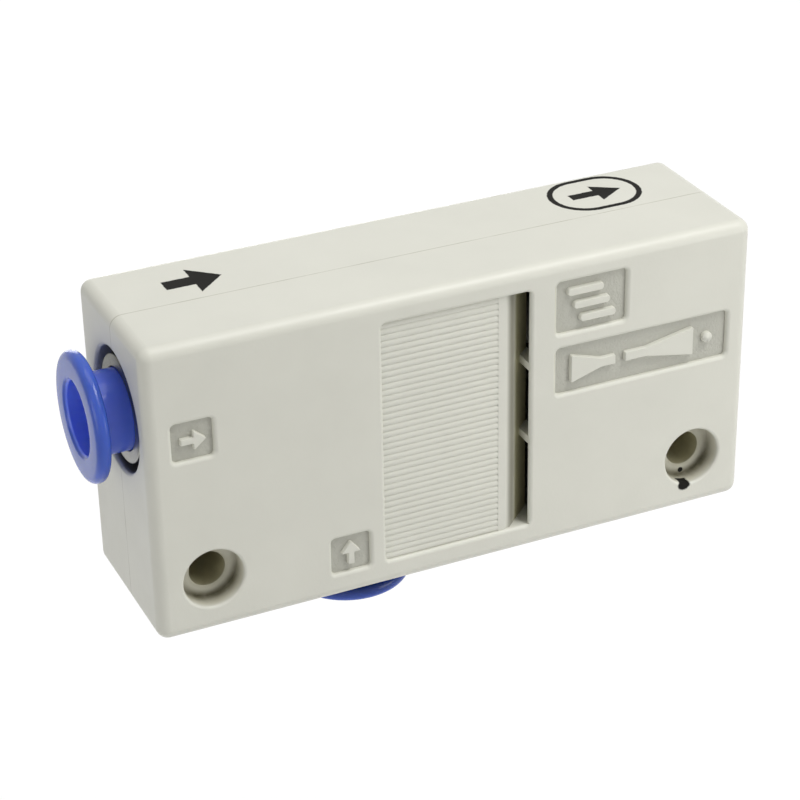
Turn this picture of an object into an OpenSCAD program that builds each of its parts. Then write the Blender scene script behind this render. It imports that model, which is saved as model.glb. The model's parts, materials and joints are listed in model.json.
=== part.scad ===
// Vacuum ejector in a flat two-shell casing, with two push-in tube ports and a louvred exhaust.
// Compressed air enters at the left end, draws the vacuum port from below, and leaves at the front.
// Origin: midway between the two mounting holes, on the back face.
// +X runs to the exhaust end, +Y runs to the back and +Z is up.

/* [Casing] */
// Length of the casing
body_length = 55; // [54:0.5:64]
// Height of the casing
body_height = 26.8; // [26:0.1:32]
// Space between the port block and the front shell's wall
front_space = 0.1; // [0.08:0.01:2]
// Space between the port block and the back shell's wall
rear_space = 1.2; // [0.1:0.05:3]
// Radius of the outer edges
edge_r = 1.05; // [0.4:0.05:1.3]
// Thickness of the shells
wall = 1.5; // [1.3:0.05:1.55]

/* [Mounting holes] */
// Distance of each hole from its end of the casing
mount_inset = 5; // [4.5:0.1:6]
// Height of the holes above the bottom face
mount_height = 5; // [4.5:0.1:6]
// Diameter of the screw clearance holes
mount_hole_d = 3.2; // [2.6:0.1:3.6]
// Diameter of the counterbores for the screw heads
counterbore_d = 5.3; // [4.8:0.1:6]
// Depth of the counterbores
counterbore_depth = 1.8; // [1:0.1:3]
// Rounding at the counterbores' mouths
counterbore_round = 0.25; // [0.1:0.05:0.5]
// Wall of plastic around the counterbores
boss_wall = 1.2; // [0.8:0.1:1.5]

/* [Locating pins] */
// Diameter of the pins on the back shell
pin_d = 1.8; // [1.2:0.1:2.2]
// Height of the pins above the parting line
pin_height = 1.6; // [1:0.1:3]
// Radial clearance around a pin in its socket
pin_clearance = 0.05; // [0.02:0.01:0.15]
// Wall of plastic around the sockets
pin_wall = 0.7; // [0.5:0.05:0.9]

/* [Ports] */
// Distance of the supply port's axis below the top face
supply_drop = 8.3; // [7.3:0.1:8.8]
// Distance of the vacuum port's axis from the left end
vacuum_offset = 19.7; // [19:0.1:21]
// Outer diameter of the tubes
tube_d = 6; // [5.6:0.1:6]
// Gap between the guide rings and the rims of the casing's openings
port_hole_gap = 0.7; // [0.3:0.05:0.8]
// Rounding at the openings' mouths
port_hole_round = 0.3; // [0.1:0.05:0.5]
// Depth of the cartridge socket, from the casing's face
socket_depth = 9.2; // [8.8:0.1:9.6]
// Length of the pocket that holds the end of the tube
pocket_length = 4.6; // [3.5:0.1:5]
// Radial clearance of the tube in its pocket
tube_clearance = 0.05; // [0.05:0.01:0.2]
// Diameter of the air passages behind the pockets
passage_d = 3.8; // [2:0.1:4.4]

/* [Release buttons] */
// Width of the flange's rim around the tube
flange_rim = 2.5; // [2:0.05:3]
// Thickness of the flange
flange_thickness = 1.25; // [0.9:0.05:1.8]
// Rounding of the flange's edges
flange_round = 0.45; // [0.2:0.05:0.45]
// Height of a released flange above the casing
button_stand_off = 3.4; // [3:0.1:3.8]
// How much further in the vacuum port's button sits
vacuum_button_in = 1.2; // [0:0.1:1.3]
// Radial clearance of the button around the tube
button_bore_clearance = 0.1; // [0.05:0.01:0.2]
// Lead-in at the mouth of the button
button_lead_in = 0.25; // [0.1:0.05:0.3]
// Wall of the button's sleeve
sleeve_wall = 0.5; // [0.4:0.05:0.6]
// Length of the barbs on the sleeve's legs
barb_length = 0.6; // [0.4:0.05:0.8]
// Height of the barbs above the sleeve
barb_height = 0.3; // [0.2:0.02:0.34]
// Length of the tapered nose that opens the chuck
nose_length = 1.3; // [0.8:0.05:1.35]
// Width of the slots between the sleeve's legs
leg_slot = 0.7; // [0.4:0.05:1.2]
// Radial clearance of the sleeve in the guide
button_clearance = 0.06; // [0.03:0.01:0.1]

/* [Cartridge] */
// Distance from the tube to the outside of the guide ring
guide_rim = 1.6; // [1.55:0.01:1.7]
// Chamfer on the guide's outer edge
guide_chamfer = 0.25; // [0.1:0.05:0.3]
// Depth of the guide's face below the casing's face
guide_recess = 0.3; // [0:0.05:0.6]
// Length of the guide's throat
throat_length = 1.3; // [1:0.05:1.5]
// Length of the guide
guide_length = 5; // [4.9:0.05:5.2]
// Thickness of the chuck's spring steel
chuck_thickness = 0.22; // [0.15:0.01:0.3]
// Length of the chuck's fingers along the axis
finger_length = 0.85; // [0.7:0.05:1]
// How far the fingertips bite into the tube's radius
finger_bite = 0.05; // [0:0.01:0.1]
// Number of chuck fingers
finger_count = 8; // [4:1:12]
// Width of the slots between the fingers
finger_slot = 0.4; // [0.2:0.05:0.7]
// Radial clearance of the tube in the collet
collet_clearance = 0.15; // [0.1:0.01:0.3]
// Length of the seal
seal_length = 1.6; // [1.4:0.05:1.8]
// How far the seal's lip reaches inside the tube's radius
lip_squeeze = 0.14; // [0:0.01:0.18]

/* [Port block] */
// Wall of the block around the cartridge sockets
block_wall = 0.9; // [0.8:0.02:0.95]
// Gap between the block and the shells
block_gap = 0.08; // [0.05:0.01:0.1]
// Radius of the vacuum chamber
chamber_r = 3.2; // [3:0.05:3.5]
// Distance from the vacuum port's axis to the block's right face
block_tail = 6.3; // [6:0.1:7]

/* [Nozzle and diffuser] */
// Diameter of the nozzle's jet hole
jet_d = 0.5; // [0.3:0.05:1]
// Diameter of the nozzle's body
nozzle_d = 5.8; // [5.2:0.1:6]
// Length of the nozzle's body
nozzle_body = 3; // [2.4:0.1:3.2]
// Distance of the nozzle's tip beyond the vacuum port's axis
nozzle_reach = 0.6; // [0.2:0.1:1]
// Diameter of the nozzle's tip
nozzle_tip_d = 1.8; // [1.6:0.1:2.2]
// Section of the O-rings
o_ring_section = 1; // [0.7:0.05:1.2]
// Diameter of the diffuser's throat
throat_d = 1.2; // [0.8:0.1:1.5]
// Diameter of the diffuser's outlet
outlet_d = 2.8; // [2:0.1:3.2]
// Outer diameter of the diffuser's tube
diffuser_d = 4.4; // [4.2:0.1:4.6]
// Length of the diffuser's head in the block
diffuser_head = 3.4; // [3:0.1:3.6]
// Diameter of the diffuser's collar
collar_d = 8.4; // [7.5:0.1:9]
// Thickness of the diffuser's collar
collar_thickness = 1; // [0.6:0.05:1.2]
// Length of the diffuser's tube beyond its collar
diffuser_tube = 15; // [12:0.5:16]
// Sliding clearance of turned parts in the block
seat_clearance = 0.05; // [0.02:0.01:0.1]

/* [Ribbed panel] */
// Distance of the panel's left edge from the left end
panel_offset = 20.4; // [20:0.1:22]
// Width of the ribbed field
panel_width = 10.6; // [8:0.1:10.8]
// Height of the panel's and the slot's lower edge above the bottom face
panel_bottom = 2.35; // [2:0.05:3]
// Distance of the panel's and the slot's upper edge below the top face
panel_drop = 2.15; // [2:0.05:3]
// Depth of the grooves between the ribs
panel_depth = 0.42; // [0.38:0.02:0.6]
// Height of the ribs above their grooves
rib_height = 0.13; // [0.08:0.01:0.2]
// Spacing of the ribs
rib_pitch = 0.5575; // [0.4:0.01:1.2]
// Rounding along the recesses' rims
rim_round = 0.35; // [0.2:0.01:0.38]
// Radius of the recesses' corners
recess_corner_r = 0.4; // [0.2:0.05:0.8]

/* [Exhaust slot] */
// Width of the smooth land between the ribs and the slot
slot_land = 0.7; // [0.5:0.05:1]
// Width of the slot in the face
slot_width = 2.2; // [1.8:0.05:2.6]
// Angle of the ramp behind the slot
ramp_angle = 43; // [38:1:50]
// Depth of the ramp's inner end below the face
ramp_depth = 3.1; // [2.6:0.1:3.3]
// Rounding where the land turns into the ramp
ramp_round = 1.2; // [0.6:0.1:1.6]
// Thickness of the ramp
ramp_wall = 1.1; // [0.8:0.05:1.2]
// Thickness of the casing's edge along the slot
lip_edge = 0.4; // [0.3:0.05:0.6]
// Height of the lower louvre bar's underside above the slot's lower end
bar_start = 7.85; // [6:0.05:9]
// Spacing of the louvre bars
bar_pitch = 7; // [5:0.05:8]
// Number of louvre bars
bar_count = 2; // [1:1:2]
// Thickness of a louvre bar
bar_thickness = 0.7; // [0.5:0.05:1.2]
// Reach of a louvre bar behind the slot's edge
bar_reach = 1.2; // [0.8:0.1:1.5]

/* [Recessed fields] */
// Width of the two port fields
port_field_w = 3.55; // [3:0.05:4]
// Height of the two port fields
port_field_h = 3.45; // [3:0.05:4]
// Distance of the supply field from the left end
supply_field_inset = 2.15; // [1.8:0.05:2.6]
// Distance of the supply field's centre below the supply axis
supply_field_drop = 0.35; // [0:0.05:1]
// Distance of the vacuum field's centre left of the vacuum axis
vacuum_field_shift = 2.5; // [2:0.05:3]
// Height of the vacuum field above the bottom face
vacuum_field_bottom = 2.3; // [1.8:0.05:2.8]
// Distance of the right-hand fields from the slot's right edge
field_margin = 2.45; // [2:0.05:3]
// Width of the upper field
upper_field_w = 6.6; // [4:0.05:9]
// Height of the upper field
upper_field_h = 4.8; // [4:0.05:5]
// Distance of the upper field below the top face
upper_field_drop = 1.95; // [1.7:0.05:2.2]
// Distance of the lower field's right edge from the right end
lower_field_inset = 2.05; // [1.8:0.05:8]
// Height of the lower field
lower_field_h = 4.35; // [3.5:0.05:4.6]
// Gap between the upper and the lower field
field_gap = 1.35; // [1:0.05:2]
// Depth of the recessed fields
field_depth = 0.45; // [0.4:0.01:0.6]

/* [Silencer] */
// Thickness of the sound-absorbing pads
pad_thickness = 2.9; // [2:0.1:3]
// Distance of the pads from the slot's right edge
pad_inset = 2.2; // [2:0.1:2.6]
// Gap between a pad and its neighbours
pad_gap = 0.1; // [0.05:0.01:0.3]

/* [Divider] */
// Thickness of the wall that closes off the exhaust chamber
divider_thickness = 1.2; // [0.8:0.05:1.5]
// Gap between the divider and the diffuser
divider_gap = 0.08; // [0.03:0.01:0.15]

/* [Hidden] */
$fn = 64;
over = 1; // how far a cut runs past the face that it opens
skin = 0.01; // the same for a tapered cut

ivory = [0.86, 0.86, 0.8];
button_blue = [0.27, 0.37, 0.78];
nickel = [0.72, 0.72, 0.7];
steel = [0.8, 0.8, 0.82];
brass = [0.8, 0.65, 0.32];
dark_resin = [0.16, 0.16, 0.17];
rubber = [0.08, 0.08, 0.09];
white_resin = [0.92, 0.92, 0.9];
foam = [0.25, 0.25, 0.25];

// Casing, deep enough for the port block
guide_d = tube_d + 2 * guide_rim;
socket_r = guide_d / 2;
barrel_r = socket_r + block_wall;
front_depth = wall + front_space + barrel_r;
rear_depth = wall + rear_space + barrel_r;
left = -body_length / 2;
right = body_length / 2;
bottom = -mount_height;
top = body_height - mount_height;
parting = -rear_depth;
front = parting - front_depth;
hole_x = right - mount_inset;
boss_r = counterbore_d / 2 + boss_wall;
supply_height = body_height - supply_drop;
supply_z = bottom + supply_height;
vacuum_x = left + vacuum_offset;

// Cartridge stack, as depths below the casing's face
block_face = wall + block_gap;
port_hole_d = guide_d + 2 * port_hole_gap;
flange_d = tube_d + 2 * flange_rim;
pocket_end = socket_depth + pocket_length;
pocket_r = tube_d / 2 + tube_clearance;
button_bore_r = tube_d / 2 + button_bore_clearance;
sleeve_r = button_bore_r + sleeve_wall;
throat_r = sleeve_r + button_clearance;
throat_end = guide_recess + throat_length;
barb_r = sleeve_r + barb_height;
barb_gap = 0.1;
barb_start = throat_end + barb_gap;
nose_tip = barb_start + barb_length + nose_length;
cavity_r = barb_r + barb_gap;
guide_end = guide_recess + guide_length;
chuck_rim_r = socket_r - seat_clearance;
fingertip_r = tube_d / 2 - finger_bite;
collet_start = guide_end + chuck_thickness;
seal_start = socket_depth - seal_length;
collet_bore_r = tube_d / 2 + collet_clearance;
lip_r = tube_d / 2 - lip_squeeze;

// Air path, as places along X
nozzle_stop = 1; // length of the block's wall between the supply pocket and the nozzle
nozzle_start = left + pocket_end + nozzle_stop;
nozzle_shoulder = nozzle_start + nozzle_body;
nozzle_tip = vacuum_x + nozzle_reach;
block_end = vacuum_x + block_tail;
diffuser_start = block_end - diffuser_head;
divider_x = block_end + collar_thickness + divider_gap;
diffuser_end = block_end + collar_thickness + diffuser_tube;
nozzle_r = nozzle_d / 2;
head_r = chamber_r - seat_clearance;

// Face features
slot_left = left + panel_offset + panel_width + slot_land;
slot_right = slot_left + slot_width;
slot_bottom = bottom + panel_bottom;
panel_height = body_height - panel_bottom - panel_drop;
slot_mid = slot_bottom + panel_height / 2;
chamber_depth = 3.5; // depth of the slot's end walls below the face
bar_z = [for (i = [0:bar_count - 1]) slot_bottom + bar_start + i * bar_pitch];
field_left = slot_right + field_margin;
lower_field_w = right - lower_field_inset - field_left;
upper_field_z = top - upper_field_drop - upper_field_h / 2;
lower_field_z = upper_field_z - upper_field_h / 2 - field_gap - lower_field_h / 2;

// Locating pins: left of the vacuum port, in the upper right corner and on the divider
pin_boss_r = pin_d / 2 + pin_clearance + pin_wall;
pin_bite = 0.3; // how far a boss runs into the wall beside it
pin_edge = wall + pin_boss_r - pin_bite;
pin_end_gap = 0.2; // space beyond a pin's end
pin_gap = 0.7; // space between a boss and the port block
pins = [
    [(left + mount_inset + boss_r + vacuum_x - barrel_r) / 2, supply_z - barrel_r - pin_boss_r - pin_gap],
    [right - pin_edge, top - pin_edge],
    [divider_x + divider_thickness / 2, bottom + pin_edge]
];

// Silencer
pad_left = slot_right + pad_inset;
pad_right = hole_x - boss_r - pad_gap;
pad_bottom = bottom + wall + pad_gap;
pad_top = top - wall - pad_gap;
end_pad_left = max(pad_right, diffuser_end) + pad_gap * 3;
pad_round = 0.6;

// ---- shared shapes ----

// Rectangle with round corners, centred
module rounded_rect(w, h, r) {
    square([w - 2 * r, h], center = true);
    square([w, h - 2 * r], center = true);
    for (sx = [-1, 1], sy = [-1, 1]) {
        translate([sx * (w / 2 - r), sy * (h / 2 - r)]) circle(r);
    }
}

// Box given by its low and high corners
module span(low, high) {
    translate(low) cube(high - low);
}

// Cube from the origin into the octant of three signs
module octant(size, signs) {
    span([for (s = signs) min(s, 0) * size], [for (s = signs) max(s, 0) * size]);
}

// Whole outer form of the casing: round edges that run into balls at the corners
module casing_block() {
    depth = front_depth + rear_depth;
    core = [body_length / 2 - edge_r, depth / 2 - edge_r, body_height / 2 - edge_r];
    corners = [for (x = [-1, 1], y = [-1, 1], z = [-1, 1]) [x, y, z]];
    translate([0, -depth / 2, (top + bottom) / 2]) {
        difference() {
            intersection() {
                linear_extrude(body_height, center = true) rounded_rect(body_length, depth, edge_r);
                rotate([90, 0, 0]) linear_extrude(depth, center = true)
                    rounded_rect(body_length, body_height, edge_r);
                rotate([90, 0, 90]) linear_extrude(body_length, center = true)
                    rounded_rect(depth, body_height, edge_r);
            }
            for (c = corners) {
                translate([for (i = [0:2]) c[i] * core[i]]) octant(edge_r + over, c);
            }
        }
        for (c = corners) {
            translate([for (i = [0:2]) c[i] * core[i]]) intersection() {
                sphere(edge_r);
                octant(edge_r + over, c);
            }
        }
    }
}

// Section of a recess: x is its width and y its depth, with a round rim
module recess_section(w, d, r) {
    translate([-w / 2, -over]) square([w, d + over]);
    difference() {
        translate([-w / 2 - r, -over]) square([w + 2 * r, r + over]);
        for (s = [-1, 1]) {
            translate([s * (w / 2 + r), r]) circle(r);
        }
    }
}

// Round hole along +Z from the face at z = 0, with a round rim
module rimmed_hole(r, depth, rim) {
    rotate_extrude() {
        translate([0, -over]) square([r, depth + over]);
        difference() {
            translate([0, -over]) square([r + rim, rim + over]);
            translate([r + rim, rim]) circle(rim);
        }
    }
}

// Rectangular recess in the front face, centred on x and z, with round corners and a round rim
module recess(x, z, w, h, d, r) {
    c = recess_corner_r;
    translate([x, front, z]) {
        linear_extrude(h - 2 * c, center = true) recess_section(w, d, r);
        rotate([90, 0, 90]) linear_extrude(w - 2 * c, center = true)
            mirror([1, -1]) recess_section(h, d, r);
        for (sx = [-1, 1], sz = [-1, 1]) {
            translate([sx * (w / 2 - c), 0, sz * (h / 2 - c)]) intersection() {
                rotate([-90, 0, 0]) rimmed_hole(c, d, r);
                translate([0, -over, 0]) octant(wall + 2 * over, [sx, 1, sz]);
            }
        }
    }
}

// Puts a shape drawn along +Z, inward from the casing's face, on the supply port's axis
module on_supply() {
    translate([left, parting, supply_z]) rotate([0, 90, 0]) children();
}

// The same for the vacuum port
module on_vacuum() {
    translate([vacuum_x, parting, bottom]) children();
}

// Puts a shape drawn along +Z on the nozzle's axis, with z = 0 at x
module on_air_path(x) {
    translate([x, parting, supply_z]) rotate([0, 90, 0]) children();
}

// Ring of rectangular section around Z
module ring(outer, inner, low, high) {
    rotate_extrude() translate([inner, low]) square([outer - inner, high - low]);
}

// ---- casing shells ----

// Places along the wall common to both shells, without the shell itself
module inner_posts() {
    for (s = [-1, 1]) {
        translate([s * hole_x, 0, 0]) rotate([90, 0, 0])
            cylinder(r = boss_r, h = front_depth + rear_depth);
    }
    for (p = pins) {
        translate([p[0], 0, p[1]]) rotate([90, 0, 0])
            cylinder(r = pin_boss_r, h = front_depth + rear_depth);
    }
    span([divider_x, front, bottom], [divider_x + divider_thickness, 0, top]);
}

// Everything that is cut through both shells
module shared_cuts() {
    for (s = [-1, 1]) {
        translate([s * hole_x, over, 0]) rotate([90, 0, 0])
            cylinder(d = mount_hole_d, h = front_depth + rear_depth + 2 * over);
    }
    on_supply() rimmed_hole(port_hole_d / 2, wall + over, port_hole_round);
    on_vacuum() rimmed_hole(port_hole_d / 2, wall + over, port_hole_round);
    on_air_path(divider_x - over) cylinder(d = diffuser_d + 2 * divider_gap,
        h = divider_thickness + 2 * over);
}

// Hollow shell between two depths, with its posts and divider
module hollow_shell(low_y, high_y, cavity_low, cavity_high) {
    difference() {
        intersection() {
            casing_block();
            span([left - over, low_y, bottom - over], [right + over, high_y, top + over]);
        }
        difference() {
            span([left + wall, cavity_low, bottom + wall], [right - wall, cavity_high, top - wall]);
            inner_posts();
            if (cavity_low < parting) slot_walls();
        }
        shared_cuts();
    }
}

// Solid behind the slot: the ramp's slab and the walls at the slot's two ends
module slot_walls() {
    slab = ramp_wall / sin(ramp_angle);
    run = ramp_depth / tan(ramp_angle);
    translate([0, front, slot_bottom - wall]) linear_extrude(panel_height + 2 * wall)
        polygon([
            [slot_left - slab, 0], [slot_left, 0],
            [slot_left + run, ramp_depth],
            [slot_left + run - ramp_wall * sin(ramp_angle), ramp_depth + ramp_wall * cos(ramp_angle)]
        ]);
    for (z = [slot_bottom - wall, slot_bottom + panel_height]) {
        span([slot_left - slab, front, z], [slot_right + bar_reach, front + chamber_depth, z + wall]);
    }
}

// Section of the slot: x runs along the face and y into it
module slot_section() {
    run = ramp_depth / tan(ramp_angle);
    tangent = ramp_round * tan(ramp_angle / 2);
    polygon([
        [slot_left, -over], [slot_left, 0], [slot_left + run, ramp_depth],
        [slot_right + bar_reach + over, ramp_depth], [slot_right + bar_reach + over, wall],
        [slot_right + wall - lip_edge, wall], [slot_right, lip_edge], [slot_right, -over]
    ]);
    difference() {
        polygon([
            [slot_left - tangent, -over], [slot_left, -over], [slot_left, 0],
            [slot_left + tangent * cos(ramp_angle), tangent * sin(ramp_angle)],
            [slot_left - tangent, 0]
        ]);
        translate([slot_left - tangent, ramp_round]) circle(ramp_round);
    }
}

// Bars that cross the slot and tie the ramp to the casing's edge
module louvre_bars() {
    slope = tan(ramp_angle);
    edge_depth = (slot_right - slot_left) * slope;
    reach_depth = edge_depth + bar_reach * slope;
    for (z = bar_z) {
        translate([0, front, z]) linear_extrude(bar_thickness) polygon([
            [slot_right, lip_edge / 2], [slot_right, edge_depth + ramp_wall / 2],
            [slot_right + bar_reach, min(reach_depth, ramp_depth)],
            [slot_right + bar_reach, lip_edge + bar_reach]
        ]);
    }
}

// Horizontal ribs of the panel, with the smooth land to their right
module panel_ribs() {
    count = round(panel_height / rib_pitch);
    pitch = panel_height / count;
    crest = panel_depth - rib_height;
    start = left + panel_offset;
    translate([start, front, slot_bottom]) rotate([90, 0, 90]) linear_extrude(panel_width)
        polygon(concat(
            [[panel_depth + rim_round, 0]],
            [for (i = [0:count - 1], k = [0:3])
                [k == 1 || k == 2 ? crest : panel_depth, (i + [0.12, 0.36, 0.64, 0.88][k]) * pitch]],
            [[panel_depth + rim_round, panel_height]]
        ));
    span([start + panel_width, front + crest, slot_bottom],
        [slot_left, front + wall, slot_bottom + panel_height]);
}

module front_shell() {
    color(ivory) difference() {
        union() {
            difference() {
                hollow_shell(front, parting, front + wall, parting + over);
                recess((left + panel_offset + slot_right) / 2, slot_mid,
                    slot_right - left - panel_offset, panel_height, panel_depth, rim_round);
            }
            panel_ribs();
        }
        translate([0, front, slot_bottom]) linear_extrude(panel_height) slot_section();
        recess(left + supply_field_inset + port_field_w / 2, supply_z - supply_field_drop,
            port_field_w, port_field_h, field_depth, rim_round);
        recess(vacuum_x - vacuum_field_shift, bottom + vacuum_field_bottom + port_field_h / 2,
            port_field_w, port_field_h, field_depth, rim_round);
        recess(field_left + upper_field_w / 2, upper_field_z,
            upper_field_w, upper_field_h, field_depth, rim_round);
        recess(field_left + lower_field_w / 2, lower_field_z,
            lower_field_w, lower_field_h, field_depth, rim_round);
        for (s = [-1, 1]) {
            translate([s * hole_x, front, 0]) rotate([-90, 0, 0])
                rimmed_hole(counterbore_d / 2, counterbore_depth, counterbore_round);
        }
        for (p = pins) {
            translate([p[0], parting + over, p[1]]) rotate([90, 0, 0])
                cylinder(r = pin_d / 2 + pin_clearance, h = pin_height + pin_end_gap + over);
        }
    }
    color(ivory) louvre_bars();
}

module rear_shell() {
    color(ivory) {
        hollow_shell(parting, 0, parting - over, -wall);
        for (p = pins) {
            translate([p[0], parting + over, p[1]]) rotate([90, 0, 0])
                cylinder(d = pin_d, h = pin_height + over);
        }
    }
}

// ---- port block and air path ----

module port_block() {
    color(dark_resin) difference() {
        union() {
            on_supply() translate([0, 0, block_face])
                cylinder(r = barrel_r, h = block_end - left - block_face);
            on_vacuum() translate([0, 0, block_face])
                cylinder(r = barrel_r, h = supply_height - block_face);
        }
        on_supply() {
            cylinder(r = socket_r, h = socket_depth);
            cylinder(r = pocket_r, h = pocket_end);
            cylinder(d = passage_d, h = pocket_end + over);
        }
        on_vacuum() {
            cylinder(r = socket_r, h = socket_depth);
            cylinder(r = pocket_r, h = pocket_end);
            cylinder(d = passage_d, h = supply_height);
        }
        on_air_path(nozzle_start) cylinder(r = nozzle_r + seat_clearance, h = nozzle_body + over);
        on_air_path(nozzle_shoulder) cylinder(r = chamber_r, h = block_end - nozzle_shoulder + over);
    }
}

module nozzle() {
    groove_r = nozzle_r + seat_clearance - o_ring_section;
    inlet_r = passage_d * 0.4;
    reach = nozzle_tip - nozzle_start;
    nose_r = nozzle_d * 0.36;
    color(brass) on_air_path(nozzle_start) difference() {
        union() {
            cylinder(r = nozzle_r, h = nozzle_body);
            translate([0, 0, nozzle_body]) cylinder(r = nose_r, h = (reach - nozzle_body) * 0.3);
            translate([0, 0, nozzle_body + (reach - nozzle_body) * 0.3])
                cylinder(r1 = nose_r, r2 = nozzle_tip_d / 2, h = (reach - nozzle_body) * 0.7);
        }
        ring(nozzle_r + over, groove_r, (nozzle_body - o_ring_section) / 2,
            (nozzle_body + o_ring_section) / 2);
        translate([0, 0, -over]) cylinder(d = jet_d, h = reach + 2 * over);
        translate([0, 0, -skin]) cylinder(r1 = inlet_r, r2 = jet_d / 2, h = reach - jet_d * 2);
    }
}

// O-ring that lies in a groove of the given inner radius
module o_ring(groove_r) {
    color(rubber) rotate_extrude() translate([groove_r + o_ring_section / 2, 0])
        circle(d = o_ring_section);
}

module nozzle_o_ring() {
    on_air_path(nozzle_start + nozzle_body / 2) o_ring(nozzle_r + seat_clearance - o_ring_section);
}

module diffuser() {
    length = diffuser_end - diffuser_start;
    inlet = diffuser_head * 0.7;
    color(white_resin) on_air_path(diffuser_start) difference() {
        union() {
            cylinder(r = head_r, h = diffuser_head);
            translate([0, 0, diffuser_head]) cylinder(d = collar_d, h = collar_thickness);
            cylinder(d = diffuser_d, h = length);
        }
        ring(head_r + over, chamber_r - o_ring_section, (diffuser_head - o_ring_section) / 2,
            (diffuser_head + o_ring_section) / 2);
        translate([0, 0, -over]) cylinder(d = throat_d, h = length + 2 * over);
        translate([0, 0, -skin]) cylinder(r1 = chamber_r * 0.55, r2 = throat_d / 2, h = inlet);
        translate([0, 0, length * 0.4])
            cylinder(r1 = throat_d / 2, r2 = outlet_d / 2, h = length * 0.6 + skin);
    }
}

module diffuser_o_ring() {
    on_air_path(diffuser_start + diffuser_head / 2) o_ring(chamber_r - o_ring_section);
}

// ---- silencer ----

// Foam pad with round corners, seen along Y
module pad(low_x, high_x, low_y, high_y, low_z, high_z) {
    color(foam) translate([(low_x + high_x) / 2, high_y, (low_z + high_z) / 2]) rotate([90, 0, 0])
        linear_extrude(high_y - low_y) rounded_rect(high_x - low_x, high_z - low_z, pad_round);
}

module silencer_front_pad() {
    pad(pad_left, pad_right, front + wall, front + wall + pad_thickness, pad_bottom, pad_top);
}

module silencer_rear_pad() {
    pad(pad_left, pad_right, -wall - pad_thickness, -wall, pad_bottom, pad_top);
}

module silencer_end_pad() {
    pad(end_pad_left, right - wall, front + wall, -wall,
        boss_r + pad_gap, top - wall - 2 * pin_boss_r - pad_gap);
}

// ---- push-in cartridges, drawn along +Z inward from the casing's face ----

// Flanged sleeve with barbed legs; slide is how far it sits in from its released place
module release_button(slide) {
    flange_face = -button_stand_off;
    color(button_blue) translate([0, 0, slide]) difference() {
        rotate_extrude() difference() {
            union() {
                translate([0, flange_face + flange_thickness / 2])
                    rounded_rect(flange_d, flange_thickness, flange_round);
                translate([0, flange_face + flange_thickness / 2])
                    square([sleeve_r, barb_start + barb_length - flange_face - flange_thickness / 2]);
                translate([0, barb_start]) square([barb_r, barb_length / 2]);
                polygon([
                    [0, barb_start + barb_length / 2], [barb_r, barb_start + barb_length / 2],
                    [sleeve_r, barb_start + barb_length], [sleeve_r - sleeve_wall * 0.6, nose_tip],
                    [0, nose_tip]
                ]);
            }
            translate([-flange_d, flange_face - over]) square([flange_d, nose_tip - flange_face + 2 * over]);
            translate([0, flange_face - over]) square([button_bore_r, nose_tip - flange_face + 2 * over]);
            polygon([
                [0, flange_face - over], [button_bore_r + button_lead_in + over, flange_face - over],
                [button_bore_r + button_lead_in, flange_face],
                [button_bore_r, flange_face + button_lead_in], [0, flange_face + button_lead_in]
            ]);
        }
        for (angle = [45, 135]) {
            rotate([0, 0, angle]) translate([-barb_r - over, -leg_slot / 2, throat_end - throat_length / 2])
                cube([2 * (barb_r + over), leg_slot, nose_tip]);
        }
    }
}

// Metal ring that guides the sleeve and holds its barbs
module guide() {
    color(nickel) rotate_extrude() difference() {
        translate([throat_r, guide_recess]) square([socket_r - throat_r, guide_length]);
        translate([throat_r - over, throat_end]) square([cavity_r - throat_r + over, guide_length]);
        polygon([
            [socket_r - guide_chamfer, guide_recess], [socket_r + over, guide_recess - over],
            [socket_r + over, guide_recess + guide_chamfer], [socket_r, guide_recess + guide_chamfer]
        ]);
    }
}

// Spring-steel grip ring: a rim held by the guide, and fingers that slope inward
module chuck() {
    t = chuck_thickness;
    color(steel) difference() {
        rotate_extrude() polygon([
            [chuck_rim_r, guide_end], [chuck_rim_r, guide_end + t], [cavity_r - t, guide_end + t],
            [fingertip_r, guide_end + t + finger_length], [fingertip_r, guide_end + finger_length],
            [cavity_r - t / 2, guide_end]
        ]);
        for (i = [0:finger_count - 1]) {
            rotate([0, 0, i * 360 / finger_count])
                translate([0, -finger_slot / 2, guide_end - over])
                cube([cavity_r - t, finger_slot, finger_length + 2 * over]);
        }
    }
}

// Ring that backs the chuck and keeps the seal in its seat
module collet() {
    seat_depth = finger_length * 0.85;
    color(white_resin) rotate_extrude() polygon([
        [chuck_rim_r, collet_start], [chuck_rim_r, seal_start], [collet_bore_r, seal_start],
        [collet_bore_r, collet_start + seat_depth], [cavity_r - chuck_thickness, collet_start]
    ]);
}

// Rubber ring with a lip that closes on the tube
module seal() {
    root_r = socket_r - (socket_r - lip_r) * 0.35;
    color(rubber) rotate_extrude() polygon([
        [socket_r, seal_start], [socket_r, socket_depth], [root_r, socket_depth],
        [lip_r, socket_depth - seal_length * 0.15], [lip_r, socket_depth - seal_length * 0.4],
        [root_r, seal_start + seal_length * 0.3], [root_r, seal_start]
    ]);
}

module supply_release_button() { on_supply() release_button(0); }
module supply_guide() { on_supply() guide(); }
module supply_chuck() { on_supply() chuck(); }
module supply_collet() { on_supply() collet(); }
module supply_seal() { on_supply() seal(); }
module vacuum_release_button() { on_vacuum() release_button(vacuum_button_in); }
module vacuum_guide() { on_vacuum() guide(); }
module vacuum_chuck() { on_vacuum() chuck(); }
module vacuum_collet() { on_vacuum() collet(); }
module vacuum_seal() { on_vacuum() seal(); }

front_shell();
rear_shell();
port_block();
nozzle();
nozzle_o_ring();
diffuser();
diffuser_o_ring();
silencer_front_pad();
silencer_rear_pad();
silencer_end_pad();
supply_release_button();
supply_guide();
supply_chuck();
supply_collet();
supply_seal();
vacuum_release_button();
vacuum_guide();
vacuum_chuck();
vacuum_collet();
vacuum_seal();
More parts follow.
